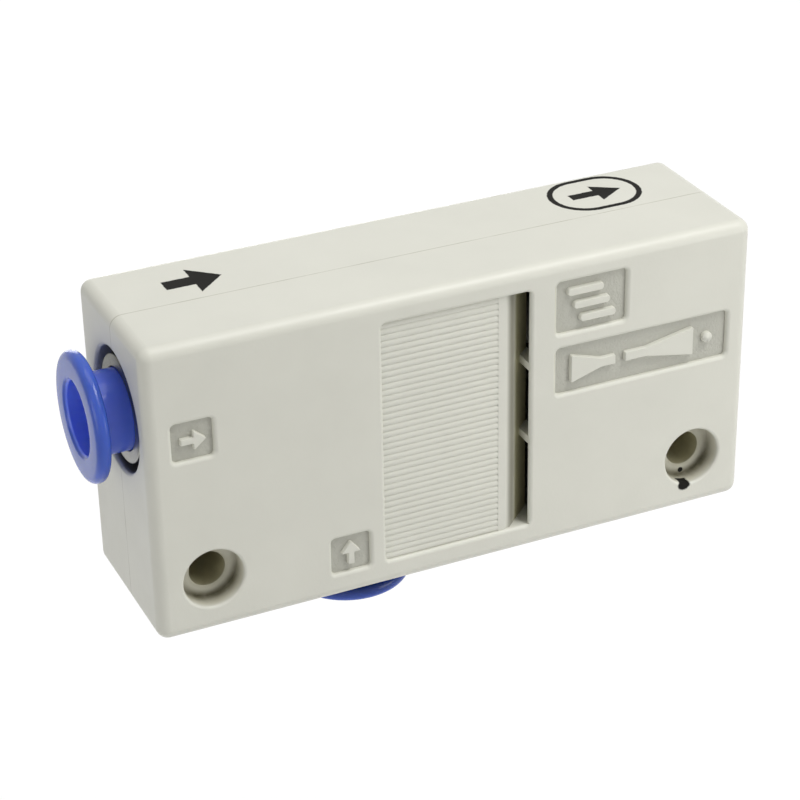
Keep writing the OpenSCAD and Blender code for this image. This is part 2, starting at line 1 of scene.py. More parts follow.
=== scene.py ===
"""Visual model of a flat vacuum ejector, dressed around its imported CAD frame.

Compressed air enters the push-in port at the left end, draws the push-in port underneath and
leaves through a louvred slot in the front. Sizes are in millimetres until they reach a mesh.
"""

import sys

import json
import logging
import math
from dataclasses import dataclass, field
from enum import Enum
from functools import reduce

import bmesh
import bpy
from mathutils import Euler, Matrix, Quaternion, Vector


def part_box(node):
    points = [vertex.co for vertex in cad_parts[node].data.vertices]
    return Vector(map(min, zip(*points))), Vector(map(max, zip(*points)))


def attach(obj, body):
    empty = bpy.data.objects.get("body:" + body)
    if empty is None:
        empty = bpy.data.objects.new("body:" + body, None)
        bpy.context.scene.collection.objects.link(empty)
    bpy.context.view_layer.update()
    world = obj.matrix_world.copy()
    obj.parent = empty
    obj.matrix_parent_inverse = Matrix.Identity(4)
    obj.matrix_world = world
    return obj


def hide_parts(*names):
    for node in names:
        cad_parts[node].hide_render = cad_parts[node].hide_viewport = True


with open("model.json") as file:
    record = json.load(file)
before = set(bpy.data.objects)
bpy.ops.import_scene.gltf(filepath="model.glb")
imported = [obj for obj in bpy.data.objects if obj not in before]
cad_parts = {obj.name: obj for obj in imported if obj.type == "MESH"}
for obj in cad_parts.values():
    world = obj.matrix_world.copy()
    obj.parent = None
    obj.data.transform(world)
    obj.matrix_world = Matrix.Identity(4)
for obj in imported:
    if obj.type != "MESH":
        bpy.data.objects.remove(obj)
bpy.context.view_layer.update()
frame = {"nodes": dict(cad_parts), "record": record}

LOG = logging.getLogger("ejector")
MM = 0.001
# Points closer than this become one, in metres.
MERGE = 1e-7
ORIGIN = (0.0, 0.0, 0.0)
WHITE = (1.0, 1.0, 1.0, 1.0)
Socket = bpy.types.NodeSocket
Triple = tuple[float, float, float]
Colour = Triple
# A corner of an outline: its two coordinates and the radius of its rounding.
Corner = Triple
Point = tuple[float, float]
# Where a soft edge starts and ends; it falls where the start is the higher one.
Span = tuple[float, float]
# A rectangle of the front face: its limits in x and then in z.
Area = tuple[float, float, float, float]


def cad_box(node: str) -> tuple[Triple, Triple]:
    """Lowest and highest corners of a CAD node, in millimetres."""
    return tuple(tuple(round(c / MM, 4) for c in corner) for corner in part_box(node))


def middle(node: str) -> Triple:
    """Centre of a CAD node's box, in millimetres."""
    return tuple(round((a + b) / 2, 4) for a, b in zip(*cad_box(node)))


(LEFT, FRONT, BOTTOM), (RIGHT, PARTING, TOP) = cad_box("front_shell")
SUPPLY_Z = middle("supply_guide")[2]
VACUUM_X, PORT_Y, _ = middle("vacuum_guide")
SCREW_HOLES = next(m for m in frame["record"]["mounts"] if m["kind"] == "bolt_pattern")


# ---- drawing helpers ----


class NodePen:
    """Adds nodes to a shader or geometry tree and wires them up as they are made."""

    def __init__(self, tree: bpy.types.NodeTree) -> None:
        """Starts on an empty tree."""
        self.tree = tree

    @classmethod
    def on(cls, owner: bpy.types.Material | bpy.types.World) -> "NodePen":
        """Clears the own tree of a material or world and starts on it.

        Args:
            owner: The material or world.

        Returns:
            A pen on its tree.
        """
        owner.use_nodes = True
        owner.node_tree.nodes.clear()
        return cls(owner.node_tree)

    def add(self, kind: str, inputs: dict | None = None, **settings: object) -> bpy.types.Node:
        """Adds one node.

        Args:
            kind: Blender's name for the node type.
            inputs: Input socket name or number, to a value or to the socket that feeds it.
            **settings: Properties of the node itself.

        Returns:
            The new node.
        """
        node = self.tree.nodes.new(kind)
        for name, value in settings.items():
            setattr(node, name, value)
        for key, value in (inputs or {}).items():
            self.feed(node.inputs[key], value)
        return node

    def out(self, kind: str, inputs: dict | None = None, **settings: object) -> Socket:
        """Adds one node as add does, and returns its first output."""
        return self.add(kind, inputs, **settings).outputs[0]

    def feed(self, socket: Socket, value: object) -> None:
        """Fills one input.

        Args:
            socket: The input.
            value: The output socket to link to it, or a plain value.
        """
        if isinstance(value, Socket):
            self.tree.links.new(value, socket)
        else:
            socket.default_value = value

    def math(self, operation: str, *values: object) -> Socket:
        """Adds a Math node and returns its result."""
        return self.out("ShaderNodeMath", dict(enumerate(values)), operation=operation)

    def vector(self, operation: str, *values: object) -> Socket:
        """Adds a Vector Math node and returns its result, a number for a length."""
        node = self.add("ShaderNodeVectorMath", dict(enumerate(values)), operation=operation)
        return node.outputs["Value" if operation == "LENGTH" else "Vector"]

    def scaled(self, vector: object, factor: object) -> Socket:
        """Multiplies a vector by a number."""
        return self.out("ShaderNodeVectorMath", {0: vector, "Scale": factor}, operation="SCALE")

    def chain(self, operation: str, *values: object) -> Socket:
        """Joins any number of values by one operation, two at a time."""
        return reduce(lambda a, b: self.math(operation, a, b), values)

    def product(self, *values: object) -> Socket:
        """Multiplies numbers together."""
        return self.chain("MULTIPLY", *values)

    def largest(self, *values: object) -> Socket:
        """Picks the largest of some numbers."""
        return self.chain("MAXIMUM", *values)

    def step(self, value: object, span: Span, low: float = 0.0, high: float = 1.0) -> Socket:
        """Goes smoothly from low to high while a value goes through a span."""
        inputs = {0: value, 1: span[0], 2: span[1], 3: low, 4: high}
        return self.out("ShaderNodeMapRange", inputs, interpolation_type="SMOOTHSTEP")

    def over(self, value: object, span: Span, low: float = 0.0, high: float = 1.0) -> Socket:
        """Does what step does for a distance and a span in millimetres."""
        return self.step(value, (span[0] * MM, span[1] * MM), low, high)

    def past(self, value: object, place: float) -> Socket:
        """How far a coordinate lies past a place given in millimetres."""
        return self.math("SUBTRACT", value, place * MM)

    def combine(self, x: object, y: object, z: object) -> Socket:
        """Joins three numbers into a vector."""
        return self.out("ShaderNodeCombineXYZ", {0: x, 1: y, 2: z})

    def length(self, across: Socket, up: Socket) -> Socket:
        """Length of the line with these two legs."""
        return self.vector("LENGTH", self.combine(across, up, 0.0))

    def split(self, vector: Socket) -> list[Socket]:
        """Splits a vector into its x, y and z."""
        return list(self.add("ShaderNodeSeparateXYZ", {0: vector}).outputs)


class SurfacePen(NodePen):
    """A pen for a piece's shader, with the object's own coordinates at hand."""

    # How fast a noise's finer layers fade, and the part of its range that most of it fills.
    NOISE_FADE = 0.55
    NOISE_MIDDLE = (0.3, 0.7)

    def __init__(self, tree: bpy.types.NodeTree) -> None:
        """Starts on an empty tree with the place on the piece.

        Args:
            tree: The tree.
        """
        super().__init__(tree)
        self.where = self.add("ShaderNodeTexCoord").outputs["Object"]
        self.x, self.y, self.z = self.split(self.where)

    def normal(self) -> list[Socket]:
        """The three parts of the direction that the surface faces."""
        return self.split(self.add("ShaderNodeNewGeometry").outputs["Normal"])

    def noise(self, size: float, detail: float = 3.0) -> Socket:
        """Adds a noise from 0 to 1 whose blobs are about size millimetres across."""
        inputs = {"Scale": 1 / (size * MM), "Detail": detail, "Roughness": self.NOISE_FADE}
        return self.out("ShaderNodeTexNoise", {"Vector": self.where, **inputs})

    def swing(self, source: Socket, low: float, high: float) -> Socket:
        """Spreads the middle of a noise over a range of values."""
        start, end = self.NOISE_MIDDLE
        return self.out("ShaderNodeMapRange", {0: source, 1: start, 2: end, 3: low, 4: high})

    def ragged(self, size: float) -> Socket:
        """Adds a noise that swings evenly round zero."""
        return self.math("SUBTRACT", self.noise(size), 0.5)

    def blend(self, share: Socket, base: Socket, colour: Colour, mode: str = "MULTIPLY") -> Socket:
        """Lays a colour over another one.

        Args:
            share: How much of it lies there, from 0 to 1.
            base: The colour below.
            colour: The colour laid over it.
            mode: Blender's name for the way they mix.

        Returns:
            The mixed colour.
        """
        inputs = {0: share, 6: base, 7: (*colour, 1.0)}
        return self.add("ShaderNodeMix", inputs, data_type="RGBA", blend_type=mode).outputs[2]

    def relief(self, height: Socket, strength: float, distance: float) -> Socket:
        """Turns a height into a normal; its full height is distance millimetres."""
        inputs = {"Strength": strength, "Distance": distance * MM, "Height": height}
        return self.out("ShaderNodeBump", inputs)


def rounded_outline(corners: list[Corner], steps: int = 6) -> list[Point]:
    """Turns a closed polygon with a radius at each corner into a smooth outline.

    Args:
        corners: The corners in order, each as x, y and the radius of its rounding.
        steps: Pieces in each rounded corner.

    Returns:
        The points of the outline, in the same order.
    """
    outline: list[Point] = []
    for i, (x, y, radius) in enumerate(corners):
        if radius <= 0:
            outline.append((x, y))
            continue
        here = Vector((x, y))
        before = (Vector(corners[i - 1][:2]) - here).normalized()
        after = (Vector(corners[(i + 1) % len(corners)][:2]) - here).normalized()
        half = before.angle(after) / 2
        reach = radius / math.tan(half)
        centre = here + (before + after).normalized() * (radius / math.sin(half))
        start, end = here + before * reach - centre, here + after * reach - centre
        turn = start.angle_signed(end)
        for k in range(steps + 1):
            arm = Matrix.Rotation(-turn * k / steps, 2) @ start
            outline.append((centre.x + arm.x, centre.y + arm.y))
    return outline


def mesh_from(work: bmesh.types.BMesh, name: str) -> bpy.types.Mesh:
    """Ends the making of a shape.

    Args:
        work: The shape, which is freed.
        name: Name of the mesh.

    Returns:
        The shape as a mesh.
    """
    mesh = bpy.data.meshes.new(name)
    work.to_mesh(mesh)
    work.free()
    return mesh


def bake_modifiers(piece: bpy.types.Object) -> None:
    """Replaces a piece's mesh with what its modifiers make, and removes them.

    Args:
        piece: The piece; it gets a new mesh.
    """
    graph = bpy.context.evaluated_depsgraph_get()
    graph.update()
    made = bpy.data.meshes.new_from_object(
        piece.evaluated_get(graph), preserve_all_data_layers=True, depsgraph=graph
    )
    made.name = piece.name
    piece.modifiers.clear()
    piece.data = made


def smooth_over(piece: bpy.types.Object, angle_deg: float = 32.0) -> None:
    """Shades a piece smooth except where its faces meet at more than an angle.

    Args:
        piece: The piece; it gets a new mesh.
        angle_deg: The angle, in degrees.
    """
    piece.data.shade_smooth()
    piece.data.set_sharp_from_angle(angle=math.radians(angle_deg))
    weighted = piece.modifiers.new("weighted_normals", "WEIGHTED_NORMAL")
    weighted.keep_sharp = True
    weighted.weight = 100
    bake_modifiers(piece)


def new_piece(name: str, data: bpy.types.ID) -> bpy.types.Object:
    """Links a mesh, lamp or camera into the scene as an object at the origin.

    Args:
        name: Name of the object.
        data: What it holds.

    Returns:
        The object.
    """
    piece = bpy.data.objects.new(name, data)
    bpy.context.scene.collection.objects.link(piece)
    return piece


# ---- finishes ----


@dataclass(frozen=True)
class Finish:
    """A surface finish. Colours are linear, and grain sizes are in millimetres."""

    name: str = "finish"
    colour: Colour = (0.5, 0.5, 0.5)
    roughness: float = 0.5
    metallic: float = 0.0
    grain: float = 0.1
    relief: float = 0.2
    mottle: float = 0.04
    mottle_size: float = 4.0
    gloss: float = 0.5
    sheen_size_share: float = 0.4
    sheen_swing: float = 0.1

    def material(self) -> bpy.types.Material:
        """Builds the material once and gives it again on later calls.

        Returns:
            The finish as a material.
        """
        found = bpy.data.materials.get(self.name)
        if found:
            return found
        made = bpy.data.materials.new(self.name)
        made.diffuse_color = (*self.colour, 1.0)
        pen = SurfacePen.on(made)
        constants = {"Metallic": self.metallic, "Roughness": self.roughness}
        shader = pen.add("ShaderNodeBsdfPrincipled", constants)
        self.set_gloss(shader)
        pen.feed(shader.inputs["Base Color"], self.tint(pen))
        pen.feed(shader.inputs["Roughness"], self.sheen(pen))
        pen.feed(shader.inputs["Normal"], self.bump(pen))
        pen.add("ShaderNodeOutputMaterial", {"Surface": shader.outputs[0]})
        return made

    def set_gloss(self, shader: bpy.types.Node) -> None:
        """Sets the constants that belong on the shader's own sockets."""
        shader.inputs["Specular IOR Level"].default_value = self.gloss

    def tint(self, pen: SurfacePen) -> Socket:
        """Colour of the surface: the base colour with a slow, faint unevenness."""
        shade = pen.swing(pen.noise(self.mottle_size), 1 - self.mottle, 1 + self.mottle)
        return pen.scaled(self.colour, shade)

    def sheen(self, pen: SurfacePen) -> Socket:
        """Roughness of the surface, a little uneven."""
        low, high = (self.roughness * (1 + side * self.sheen_swing) for side in (-1, 1))
        return pen.swing(pen.noise(self.mottle_size * self.sheen_size_share), low, high)

    def bump(self, pen: SurfacePen) -> Socket:
        """Normal of the surface, roughened by its grain."""
        return pen.relief(pen.noise(self.grain, 2.0), self.relief, self.grain)


@dataclass(frozen=True)
class PrintedMark:
    """A convex patch of ink on the top face, as corners in x and y, clockwise or not."""

    corners: tuple[Point, ...]

    def distance(self, pen: SurfacePen) -> Socket:
        """Measures how far the surface lies outside the patch.

        Args:
            pen: Pen on the shader of the printed surface.

        Returns:
            The distance in metres, negative inside the patch.
        """
        centre = sum((Vector(c) for c in self.corners), Vector((0, 0))) / len(self.corners)
        sides = []
        for i, corner in enumerate(self.corners):
            a, b = Vector(self.corners[i - 1]), Vector(corner)
            normal = Vector(((b - a).y, -(b - a).x)).normalized()
            if normal.dot(centre - a) > 0:
                normal = -normal
            along = pen.math("MULTIPLY", pen.x, normal.x)
            sides.append(pen.past(pen.math("MULTIPLY_ADD", pen.y, normal.y, along), normal.dot(a)))
        return pen.largest(*sides)


@dataclass(frozen=True)
class PrintedLoop:
    """A line of ink in the shape of a running track, by its centre, size and line width."""

    centre: Point
    size: Point
    line: float

    def distance(self, pen: SurfacePen) -> Socket:
        """Measures how far the surface lies outside the line.

        Args:
            pen: Pen on the shader of the printed surface.

        Returns:
            The distance in metres, negative inside the line.
        """
        radius = self.size[1] / 2
        across = pen.math("ABSOLUTE", pen.past(pen.x, self.centre[0]))
        bend = pen.math("MAXIMUM", pen.past(across, self.size[0] / 2 - radius), 0.0)
        reach = pen.length(bend, pen.past(pen.y, self.centre[1]))
        return pen.past(pen.math("ABSOLUTE", pen.past(reach, radius)), self.line / 2)


def arrow_patches(x: float, y: float, length: float, width: float) -> tuple[PrintedMark, ...]:
    """Draws a block arrow that points along +X, as two convex patches.

    Args:
        x: Place of its tail.
        y: Place of its centre line.
        length: Its length.
        width: Width of its head.

    Returns:
        The shaft and the head.
    """
    neck, stem, lap = x + length * 0.5, width * 0.17, 0.1
    shaft = ((x, y - stem), (neck + lap, y - stem), (neck + lap, y + stem), (x, y + stem))
    head = ((neck, y - width / 2), (x + length, y), (neck, y + width / 2))
    return PrintedMark(shaft), PrintedMark(head)


@dataclass(frozen=True)
class Speck:
    """A spot of dirt, by its place in x and z, its half sizes and its depths below the face."""

    place: Point
    half: Point
    shallow: float
    deep: float
    edge: Span = (1.15, 0.8)
    unevenness: float = 0.4

    def share(self, pen: SurfacePen, depth: Socket, ragged: Socket) -> Socket:
        """Draws the spot.

        Args:
            pen: Pen on the shader of the dirty surface.
            depth: Depth below the front face.
            ragged: Noise for its outline.

        Returns:
            The share of dirt over the surface.
        """
        across = pen.math("DIVIDE", pen.past(pen.x, self.place[0]), self.half[0] * MM)
        up = pen.math("DIVIDE", pen.past(pen.z, self.place[1]), self.half[1] * MM)
        reach = pen.math("MULTIPLY_ADD", ragged, self.unevenness, pen.length(across, up))
        below = pen.math("GREATER_THAN", depth, self.shallow * MM)
        above = pen.math("LESS_THAN", depth, self.deep * MM)
        return pen.product(pen.step(reach, self.edge), below, above)


@dataclass(frozen=True)
class MouldedCasing(Finish):
    """Warm light grey moulded resin: etched field floors, ink on top, dirt, and painted shade in
    recesses.
    """

    name: str = "moulded_casing_resin"
    colour: Colour = (0.647, 0.643, 0.57)
    roughness: float = 0.36
    gloss: float = 0.27
    grain: float = 0.3
    relief: float = 0.035
    mottle: float = 0.018
    mottle_size: float = 6.0

    # The sunk fields, whose floors are etched.
    fields: tuple[Area, ...] = (
        (-25.35, -21.8, 11.425, 14.875),
        (-12.075, -8.525, -2.7, 0.75),
        (8.85, 15.45, 15.05, 19.85),
        (8.85, 25.45, 9.35, 13.7),
    )
    field_edge: float = 0.12
    field_depth: Span = (0.3, 0.42)
    facing_front: Span = (-0.9, -0.99)
    field_tint: Colour = (0.72, 0.72, 0.7092)
    etch_grain: float = 0.22
    etch_relief: float = 0.32

    # The exhaust slot's ramp, darkened as painted shade along its top and as deeper painted shade
    # further down.
    slot: Area = (3.9, 8.6, -2.65, 19.65)
    slot_edge: float = 0.1
    ramp_start: float = 4.2
    land_depth: float = 0.29
    ramp_lean: float = -0.45
    off_level: Span = (0.35, 0.05)
    facing_aside: Span = (0.2, 0.5)
    ramp_shade_start: Span = (-0.02, 0.55)
    ramp_shade_end: Span = (1.0, 0.65)
    ramp_shade_tint: Colour = (0.43, 0.42, 0.385)
    deep_shade_start: Span = (0.7, 1.1)
    deep_shade_tint: Colour = (0.72, 0.69, 0.48)

    # The grime along the parting line.
    joint_width: Span = (0.09, 0.03)
    joint_patch_size: float = 2.6
    joint_patch_least: float = 0.35
    joint_tint: Colour = (0.66, 0.65, 0.6)

    # The screw holes: the bore, darkened as painted shade, the counterbore, and its corner,
    # painted darker low down.
    hole_spacing: float = SCREW_HOLES["dims"]["spacing_x_mm"]
    bore_rim: Span = (1.9, 1.62)
    bore_depth: Span = (1.7, 2.0)
    bore_shade_tint: Colour = (0.76, 0.73, 0.58)
    recess_rim: Span = (2.95, 2.65)
    recess_depth: Span = (0.1, 0.7)
    recess_patch_size: float = 0.9
    recess_patch_least: float = 0.75
    counterbore_tint: Colour = (0.84, 0.82, 0.76)
    corner_inner: Span = (1.9, 2.6)
    corner_outer: Span = (2.9, 2.7)
    corner_depth: Span = (0.5, 1.75)
    corner_way: Point = (0.2, 0.98)
    corner_turn: Span = (-0.3, 0.85)
    corner_least: float = 0.1
    corner_tint: Colour = (0.25, 0.235, 0.18)

    # The walls of the two port openings, darkened as painted shade, less near the top.
    gap_rim: Span = (5.6, 5.35)
    gap_mouth: Span = (0.1, 0.6)
    gap_end: Span = (5.0, 4.0)
    gap_height: Span = (15.5, 11.0)
    gap_least: float = 0.3
    gap_shade_tint: Colour = (0.3, 0.28, 0.25)

    # Spots of dirt, and the ink on the top face.
    specks: tuple[Speck, ...] = (
        Speck((22.44, -2.23), (0.26, 0.26), 1.3, 2.2),
        Speck((21.82, -2.72), (0.62, 0.5), -0.5, 1.0),
    )
    speck_colour: Colour = (0.004, 0.0035, 0.002)
    speck_grain: float = 0.28
    marks: tuple[PrintedMark | PrintedLoop, ...] = (
        *arrow_patches(-21.7, -4.9, 5.0, 4.5),
        PrintedLoop((18.25, -4.25), (8.0, 6.0), 0.5),
        *arrow_patches(15.9, -4.25, 4.9, 3.1),
    )
    ink: Colour = (0.007, 0.0065, 0.005)
    ink_edge: Span = (0.05, -0.04)
    ink_raggedness: float = 0.12
    ink_grain: float = 0.35
    top_level: float = TOP - 0.1
    dullness: float = 0.6

    def depth(self, pen: SurfacePen) -> Socket:
        """Depth below the front face."""
        return pen.past(pen.y, FRONT)

    def within(self, pen: SurfacePen, area: Area, edge: float) -> Socket:
        """Picks a rectangle of the front face.

        Args:
            pen: Pen on the casing's shader.
            area: The rectangle.
            edge: Width of its soft edges.

        Returns:
            The share, 1 inside it.
        """
        sides = []
        for value, low, high in ((pen.x, *area[:2]), (pen.z, *area[2:])):
            half = (high - low) / 2
            off = pen.math("ABSOLUTE", pen.past(value, (low + high) / 2))
            sides.append(pen.over(off, (half + edge, half)))
        return pen.product(*sides)

    def on_field_floors(self, pen: SurfacePen) -> Socket:
        """Picks the etched floors of the sunk fields.

        Args:
            pen: Pen on the casing's shader.

        Returns:
            The share of etched surface.
        """
        inside = pen.largest(*(self.within(pen, area, self.field_edge) for area in self.fields))
        flat = pen.step(pen.normal()[1], self.facing_front)
        return pen.product(inside, flat, pen.over(self.depth(pen), self.field_depth))

    def shade_down_the_ramp(self, pen: SurfacePen) -> tuple[Socket, Socket]:
        """Finds the painted shade on the ramp of the exhaust slot.

        Args:
            pen: Pen on the casing's shader.

        Returns:
            Shares of the painted shade along the top of the ramp and of the deeper painted shade
            further down.
        """
        sunk = pen.past(self.depth(pen), self.land_depth)
        inward = pen.past(pen.x, self.ramp_start)
        way = pen.math("MULTIPLY_ADD", sunk, self.ramp_lean, inward)
        aside, _, level = pen.normal()
        in_slot = self.within(pen, self.slot, self.slot_edge)
        inside = pen.product(in_slot, pen.step(level, self.off_level))
        upper_shade = pen.product(inside, pen.over(way, self.ramp_shade_start), pen.over(way, self.ramp_shade_end))
        facing = pen.step(aside, self.facing_aside)
        return upper_shade, pen.product(inside, pen.over(way, self.deep_shade_start), facing)

    def shade_in_port_gaps(self, pen: SurfacePen) -> Socket:
        """Finds the painted shade on the walls of the two port openings.

        Args:
            pen: Pen on the casing's shader.

        Returns:
            The share of painted shade.
        """
        back = pen.past(pen.y, PORT_Y)
        shares = []
        for away, axis, along, mouth in (
            (pen.z, SUPPLY_Z, pen.x, LEFT),
            (pen.x, VACUUM_X, pen.z, BOTTOM),
        ):
            radius = pen.length(pen.past(away, axis), back)
            depth = pen.past(along, mouth)
            spans = ((radius, self.gap_rim), (depth, self.gap_mouth), (depth, self.gap_end))
            fade = pen.over(pen.z, self.gap_height, self.gap_least)
            shares.append(pen.product(*(pen.over(*pair) for pair in spans), fade))
        return pen.largest(*shares)

    def round_screw_holes(self, pen: SurfacePen) -> tuple[Socket, Socket, Socket]:
        """Finds what darkens the two counterbored screw holes.

        Args:
            pen: Pen on the casing's shader.

        Returns:
            Shares of the counterbore, of its corner, darker low down, and of the bore's painted
            shade.
        """
        depth = self.depth(pen)
        patchy = pen.swing(pen.noise(self.recess_patch_size), self.recess_patch_least, 1.0)
        across = pen.past(pen.math("ABSOLUTE", pen.x), self.hole_spacing / 2)
        radius = pen.length(across, pen.z)
        rim = pen.over(radius, self.recess_rim)
        in_recess = pen.product(rim, pen.over(depth, self.recess_depth), patchy)
        side = pen.product(across, pen.math("SIGN", pen.x), self.corner_way[0])
        low = pen.math("SUBTRACT", side, pen.math("MULTIPLY", pen.z, self.corner_way[1]))
        in_corner = pen.product(
            pen.over(radius, self.corner_inner),
            pen.over(radius, self.corner_outer),
            pen.over(depth, self.corner_depth),
            pen.step(pen.math("DIVIDE", low, radius), self.corner_turn, self.corner_least),
            patchy,
        )
        bore_shade = pen.product(pen.over(radius, self.bore_rim), pen.over(depth, self.bore_depth))
        return in_recess, in_corner, bore_shade

    def on_joint(self, pen: SurfacePen) -> Socket:
        """Finds the grime along the parting line.

        Args:
            pen: Pen on the casing's shader.

        Returns:
            The share of grime.
        """
        off = pen.math("ABSOLUTE", pen.past(pen.y, PARTING))
        patchy = pen.swing(pen.noise(self.joint_patch_size), self.joint_patch_least, 1.0)
        return pen.product(pen.over(off, self.joint_width), patchy)

    def specked(self, pen: SurfacePen) -> Socket:
        """Finds the spots of dirt in the right-hand counterbore and on its rim.

        Args:
            pen: Pen on the casing's shader.

        Returns:
            The share of dirt.
        """
        depth, ragged = self.depth(pen), pen.ragged(self.speck_grain)
        return pen.largest(*(speck.share(pen, depth, ragged) for speck in self.specks))

    def inked(self, pen: SurfacePen) -> Socket:
        """Finds the printed marks on the top face.

        Args:
            pen: Pen on the casing's shader.

        Returns:
            The share of ink.
        """
        closest = pen.chain("MINIMUM", *(mark.distance(pen) for mark in self.marks))
        ragged = pen.ragged(self.ink_grain)
        edge = pen.math("MULTIPLY_ADD", ragged, self.ink_raggedness * MM, closest)
        on_top = pen.math("GREATER_THAN", pen.z, self.top_level * MM)
        return pen.product(pen.over(edge, self.ink_edge), on_top)

    def tint(self, pen: SurfacePen) -> Socket:
        """Colours the resin, with its textures, dirt, painted shade and ink over it.

        Args:
            pen: Pen on the casing's shader.

        Returns:
            The colour.
        """
        upper_shade, deep = self.shade_down_the_ramp(pen)
        in_recess, in_corner, bore_shade = self.round_screw_holes(pen)
        result = super().tint(pen)
        for share, colour, mode in (
            (self.on_field_floors(pen), self.field_tint, "MULTIPLY"),
            (self.on_joint(pen), self.joint_tint, "MULTIPLY"),
            # Painted shade on the slot's ramp: along its top, and deeper down.
            (upper_shade, self.ramp_shade_tint, "MULTIPLY"),
            (deep, self.deep_shade_tint, "MULTIPLY"),
            (in_recess, self.counterbore_tint, "MULTIPLY"),
            # The counterbore's corner is painted darker low down; the bore is darkened as painted
            # shade.
            (in_corner, self.corner_tint, "MULTIPLY"),
            (bore_shade, self.bore_shade_tint, "MULTIPLY"),
            (self.specked(pen), self.speck_colour, "MIX"),
            # Painted shade on the walls of the port openings.
            (self.shade_in_port_gaps(pen), self.gap_shade_tint, "MULTIPLY"),
            (self.inked(pen), self.ink, "MIX"),
        ):
            result = pen.blend(share, result, colour, mode)
        return result

    def sheen(self, pen: SurfacePen) -> Socket:
        """Roughness of the resin, and of the dull ink and dirt on it."""
        dull = pen.largest(self.inked(pen), self.specked(pen))
        return pen.math("MULTIPLY_ADD", dull, self.dullness, super().sheen(pen))

    def bump(self, pen: SurfacePen) -> Socket:
        """Raises a fine satin grain, and a coarse etched one on the field floors.

        Args:
            pen: Pen on the casing's shader.

        Returns:
            The normal.
        """
        fine = pen.product(pen.noise(self.grain, 2.0), self.relief)
        etched = pen.product(pen.noise(self.etch_grain, 2.0), self.on_field_floors(pen))
        height = pen.math("MULTIPLY_ADD", etched, self.etch_relief, fine)
        return pen.relief(height, 1.0, self.etch_grain)


@dataclass(frozen=True)
class GlossyBlue(Finish):
    """Glossy blue moulded resin of the release buttons."""

    name: str = "glossy_blue_resin"
    colour: Colour = (0.05, 0.108, 0.48)
    roughness: float = 0.16
    gloss: float = 0.26
    grain: float = 0.5
    relief: float = 0.03
    mottle: float = 0.06
    mottle_size: float = 2.5

    # Painted light in the thin walls, brightening them as if light shone through.
    painted_glow_colour: Colour = (0.13, 0.215, 0.88)
    flange_height: float = 1.35
    bore_wall: Span = (3.3, 3.15)
    sleeve_inner: Span = (3.25, 3.4)
    sleeve_outer: Span = (3.7, 3.5)
    # The shade on the lower button, close under the casing.
    under_face: Span = (-7.15, -6.1)
    below_casing: Span = (-4.0, -4.4)
    dusk: float = -0.5
    # The depth of a translucent resin.
    depth_colour: Colour = (0.1, 0.2, 1.0)
    depth_share: float = 0.55
    depth_reach: float = 1.0

    def in_thin_walls(self, pen: SurfacePen) -> Socket:
        """Finds the bores and sleeves, whose thin walls let light through.

        Args:
            pen: Pen on the buttons' shader.

        Returns:
            The share of thin wall.
        """
        back = pen.past(pen.y, PORT_Y)
        shares = []
        for away, axis, along, face in (
            (pen.z, SUPPLY_Z, pen.x, cad_box("supply_release_button")[0][0]),
            (pen.x, VACUUM_X, pen.z, cad_box("vacuum_release_button")[0][2]),
        ):
            radius = pen.length(back, pen.past(away, axis))
            behind = pen.math("GREATER_THAN", along, (face + self.flange_height) * MM)
            outer = pen.over(radius, self.sleeve_outer)
            shares.append(pen.over(radius, self.bore_wall))
            shares.append(pen.product(pen.over(radius, self.sleeve_inner), outer, behind))
        return pen.largest(*shares)

    def tint(self, pen: SurfacePen) -> Socket:
        """Colours the resin, with painted light in its thin walls and painted shade close under
        the casing.

        Args:
            pen: Pen on the buttons' shader.

        Returns:
            The colour.
        """
        glowing = pen.blend(self.in_thin_walls(pen), super().tint(pen), self.painted_glow_colour, "MIX")
        dim = pen.product(pen.over(pen.z, self.under_face), pen.over(pen.z, self.below_casing))
        return pen.scaled(glowing, pen.math("MULTIPLY_ADD", dim, self.dusk, 1.0))

    def set_gloss(self, shader: bpy.types.Node) -> None:
        """Adds the slight depth of a translucent resin.

        Args:
            shader: The material's shader node.
        """
        super().set_gloss(shader)
        shader.inputs["Subsurface Weight"].default_value = self.depth_share
        shader.inputs["Subsurface Radius"].default_value = self.depth_colour
        shader.inputs["Subsurface Scale"].default_value = self.depth_reach * MM


@dataclass(frozen=True)
class TurnedMetal(Finish):
    """Turned metal, with painted shade on its upper part where it faces out of the supply port."""

    name: str = "nickel_plate"
    colour: Colour = (0.3, 0.3, 0.28)
    roughness: float = 0.34
    metallic: float = 1.0
    grain: float = 0.06
    relief: float = 0.18
    mottle: float = 0.05
    mottle_size: float = 1.5
    # Painted shade on the upper part of what faces out of the supply port.
    shade_above: Span = (13.5, 16.0)
    shade_face_x: float = -26.5
    top_shade_tint: Colour = (0.42, 0.42, 0.37)

    def tint(self, pen: SurfacePen) -> Socket:
        """Colours the metal, with its painted shade.

        Args:
            pen: Pen on the metal's shader.

        Returns:
            The colour.
        """
        facing = pen.math("LESS_THAN", pen.x, self.shade_face_x * MM)
        share = pen.product(pen.over(pen.z, self.shade_above), facing)
        return pen.blend(share, super().tint(pen), self.top_shade_tint)


@dataclass(frozen=True)
class Foam(Finish):
    """Open-celled foam of the silencer pads."""

    name: str = "silencer_foam"
    colour: Colour = (0.3, 0.285, 0.21)
    roughness: float = 0.95
    grain: float = 0.35
    relief: float = 0.9
    mottle: float = 0.2
    mottle_size: float = 0.6

    def bump(self, pen: SurfacePen) -> Socket:
        """Normal of the surface, pitted by its cells."""
        cells = {"Vector": pen.where, "Scale": 1 / (self.grain * MM)}
        return pen.relief(pen.out("ShaderNodeTexVoronoi", cells), self.relief, self.grain)


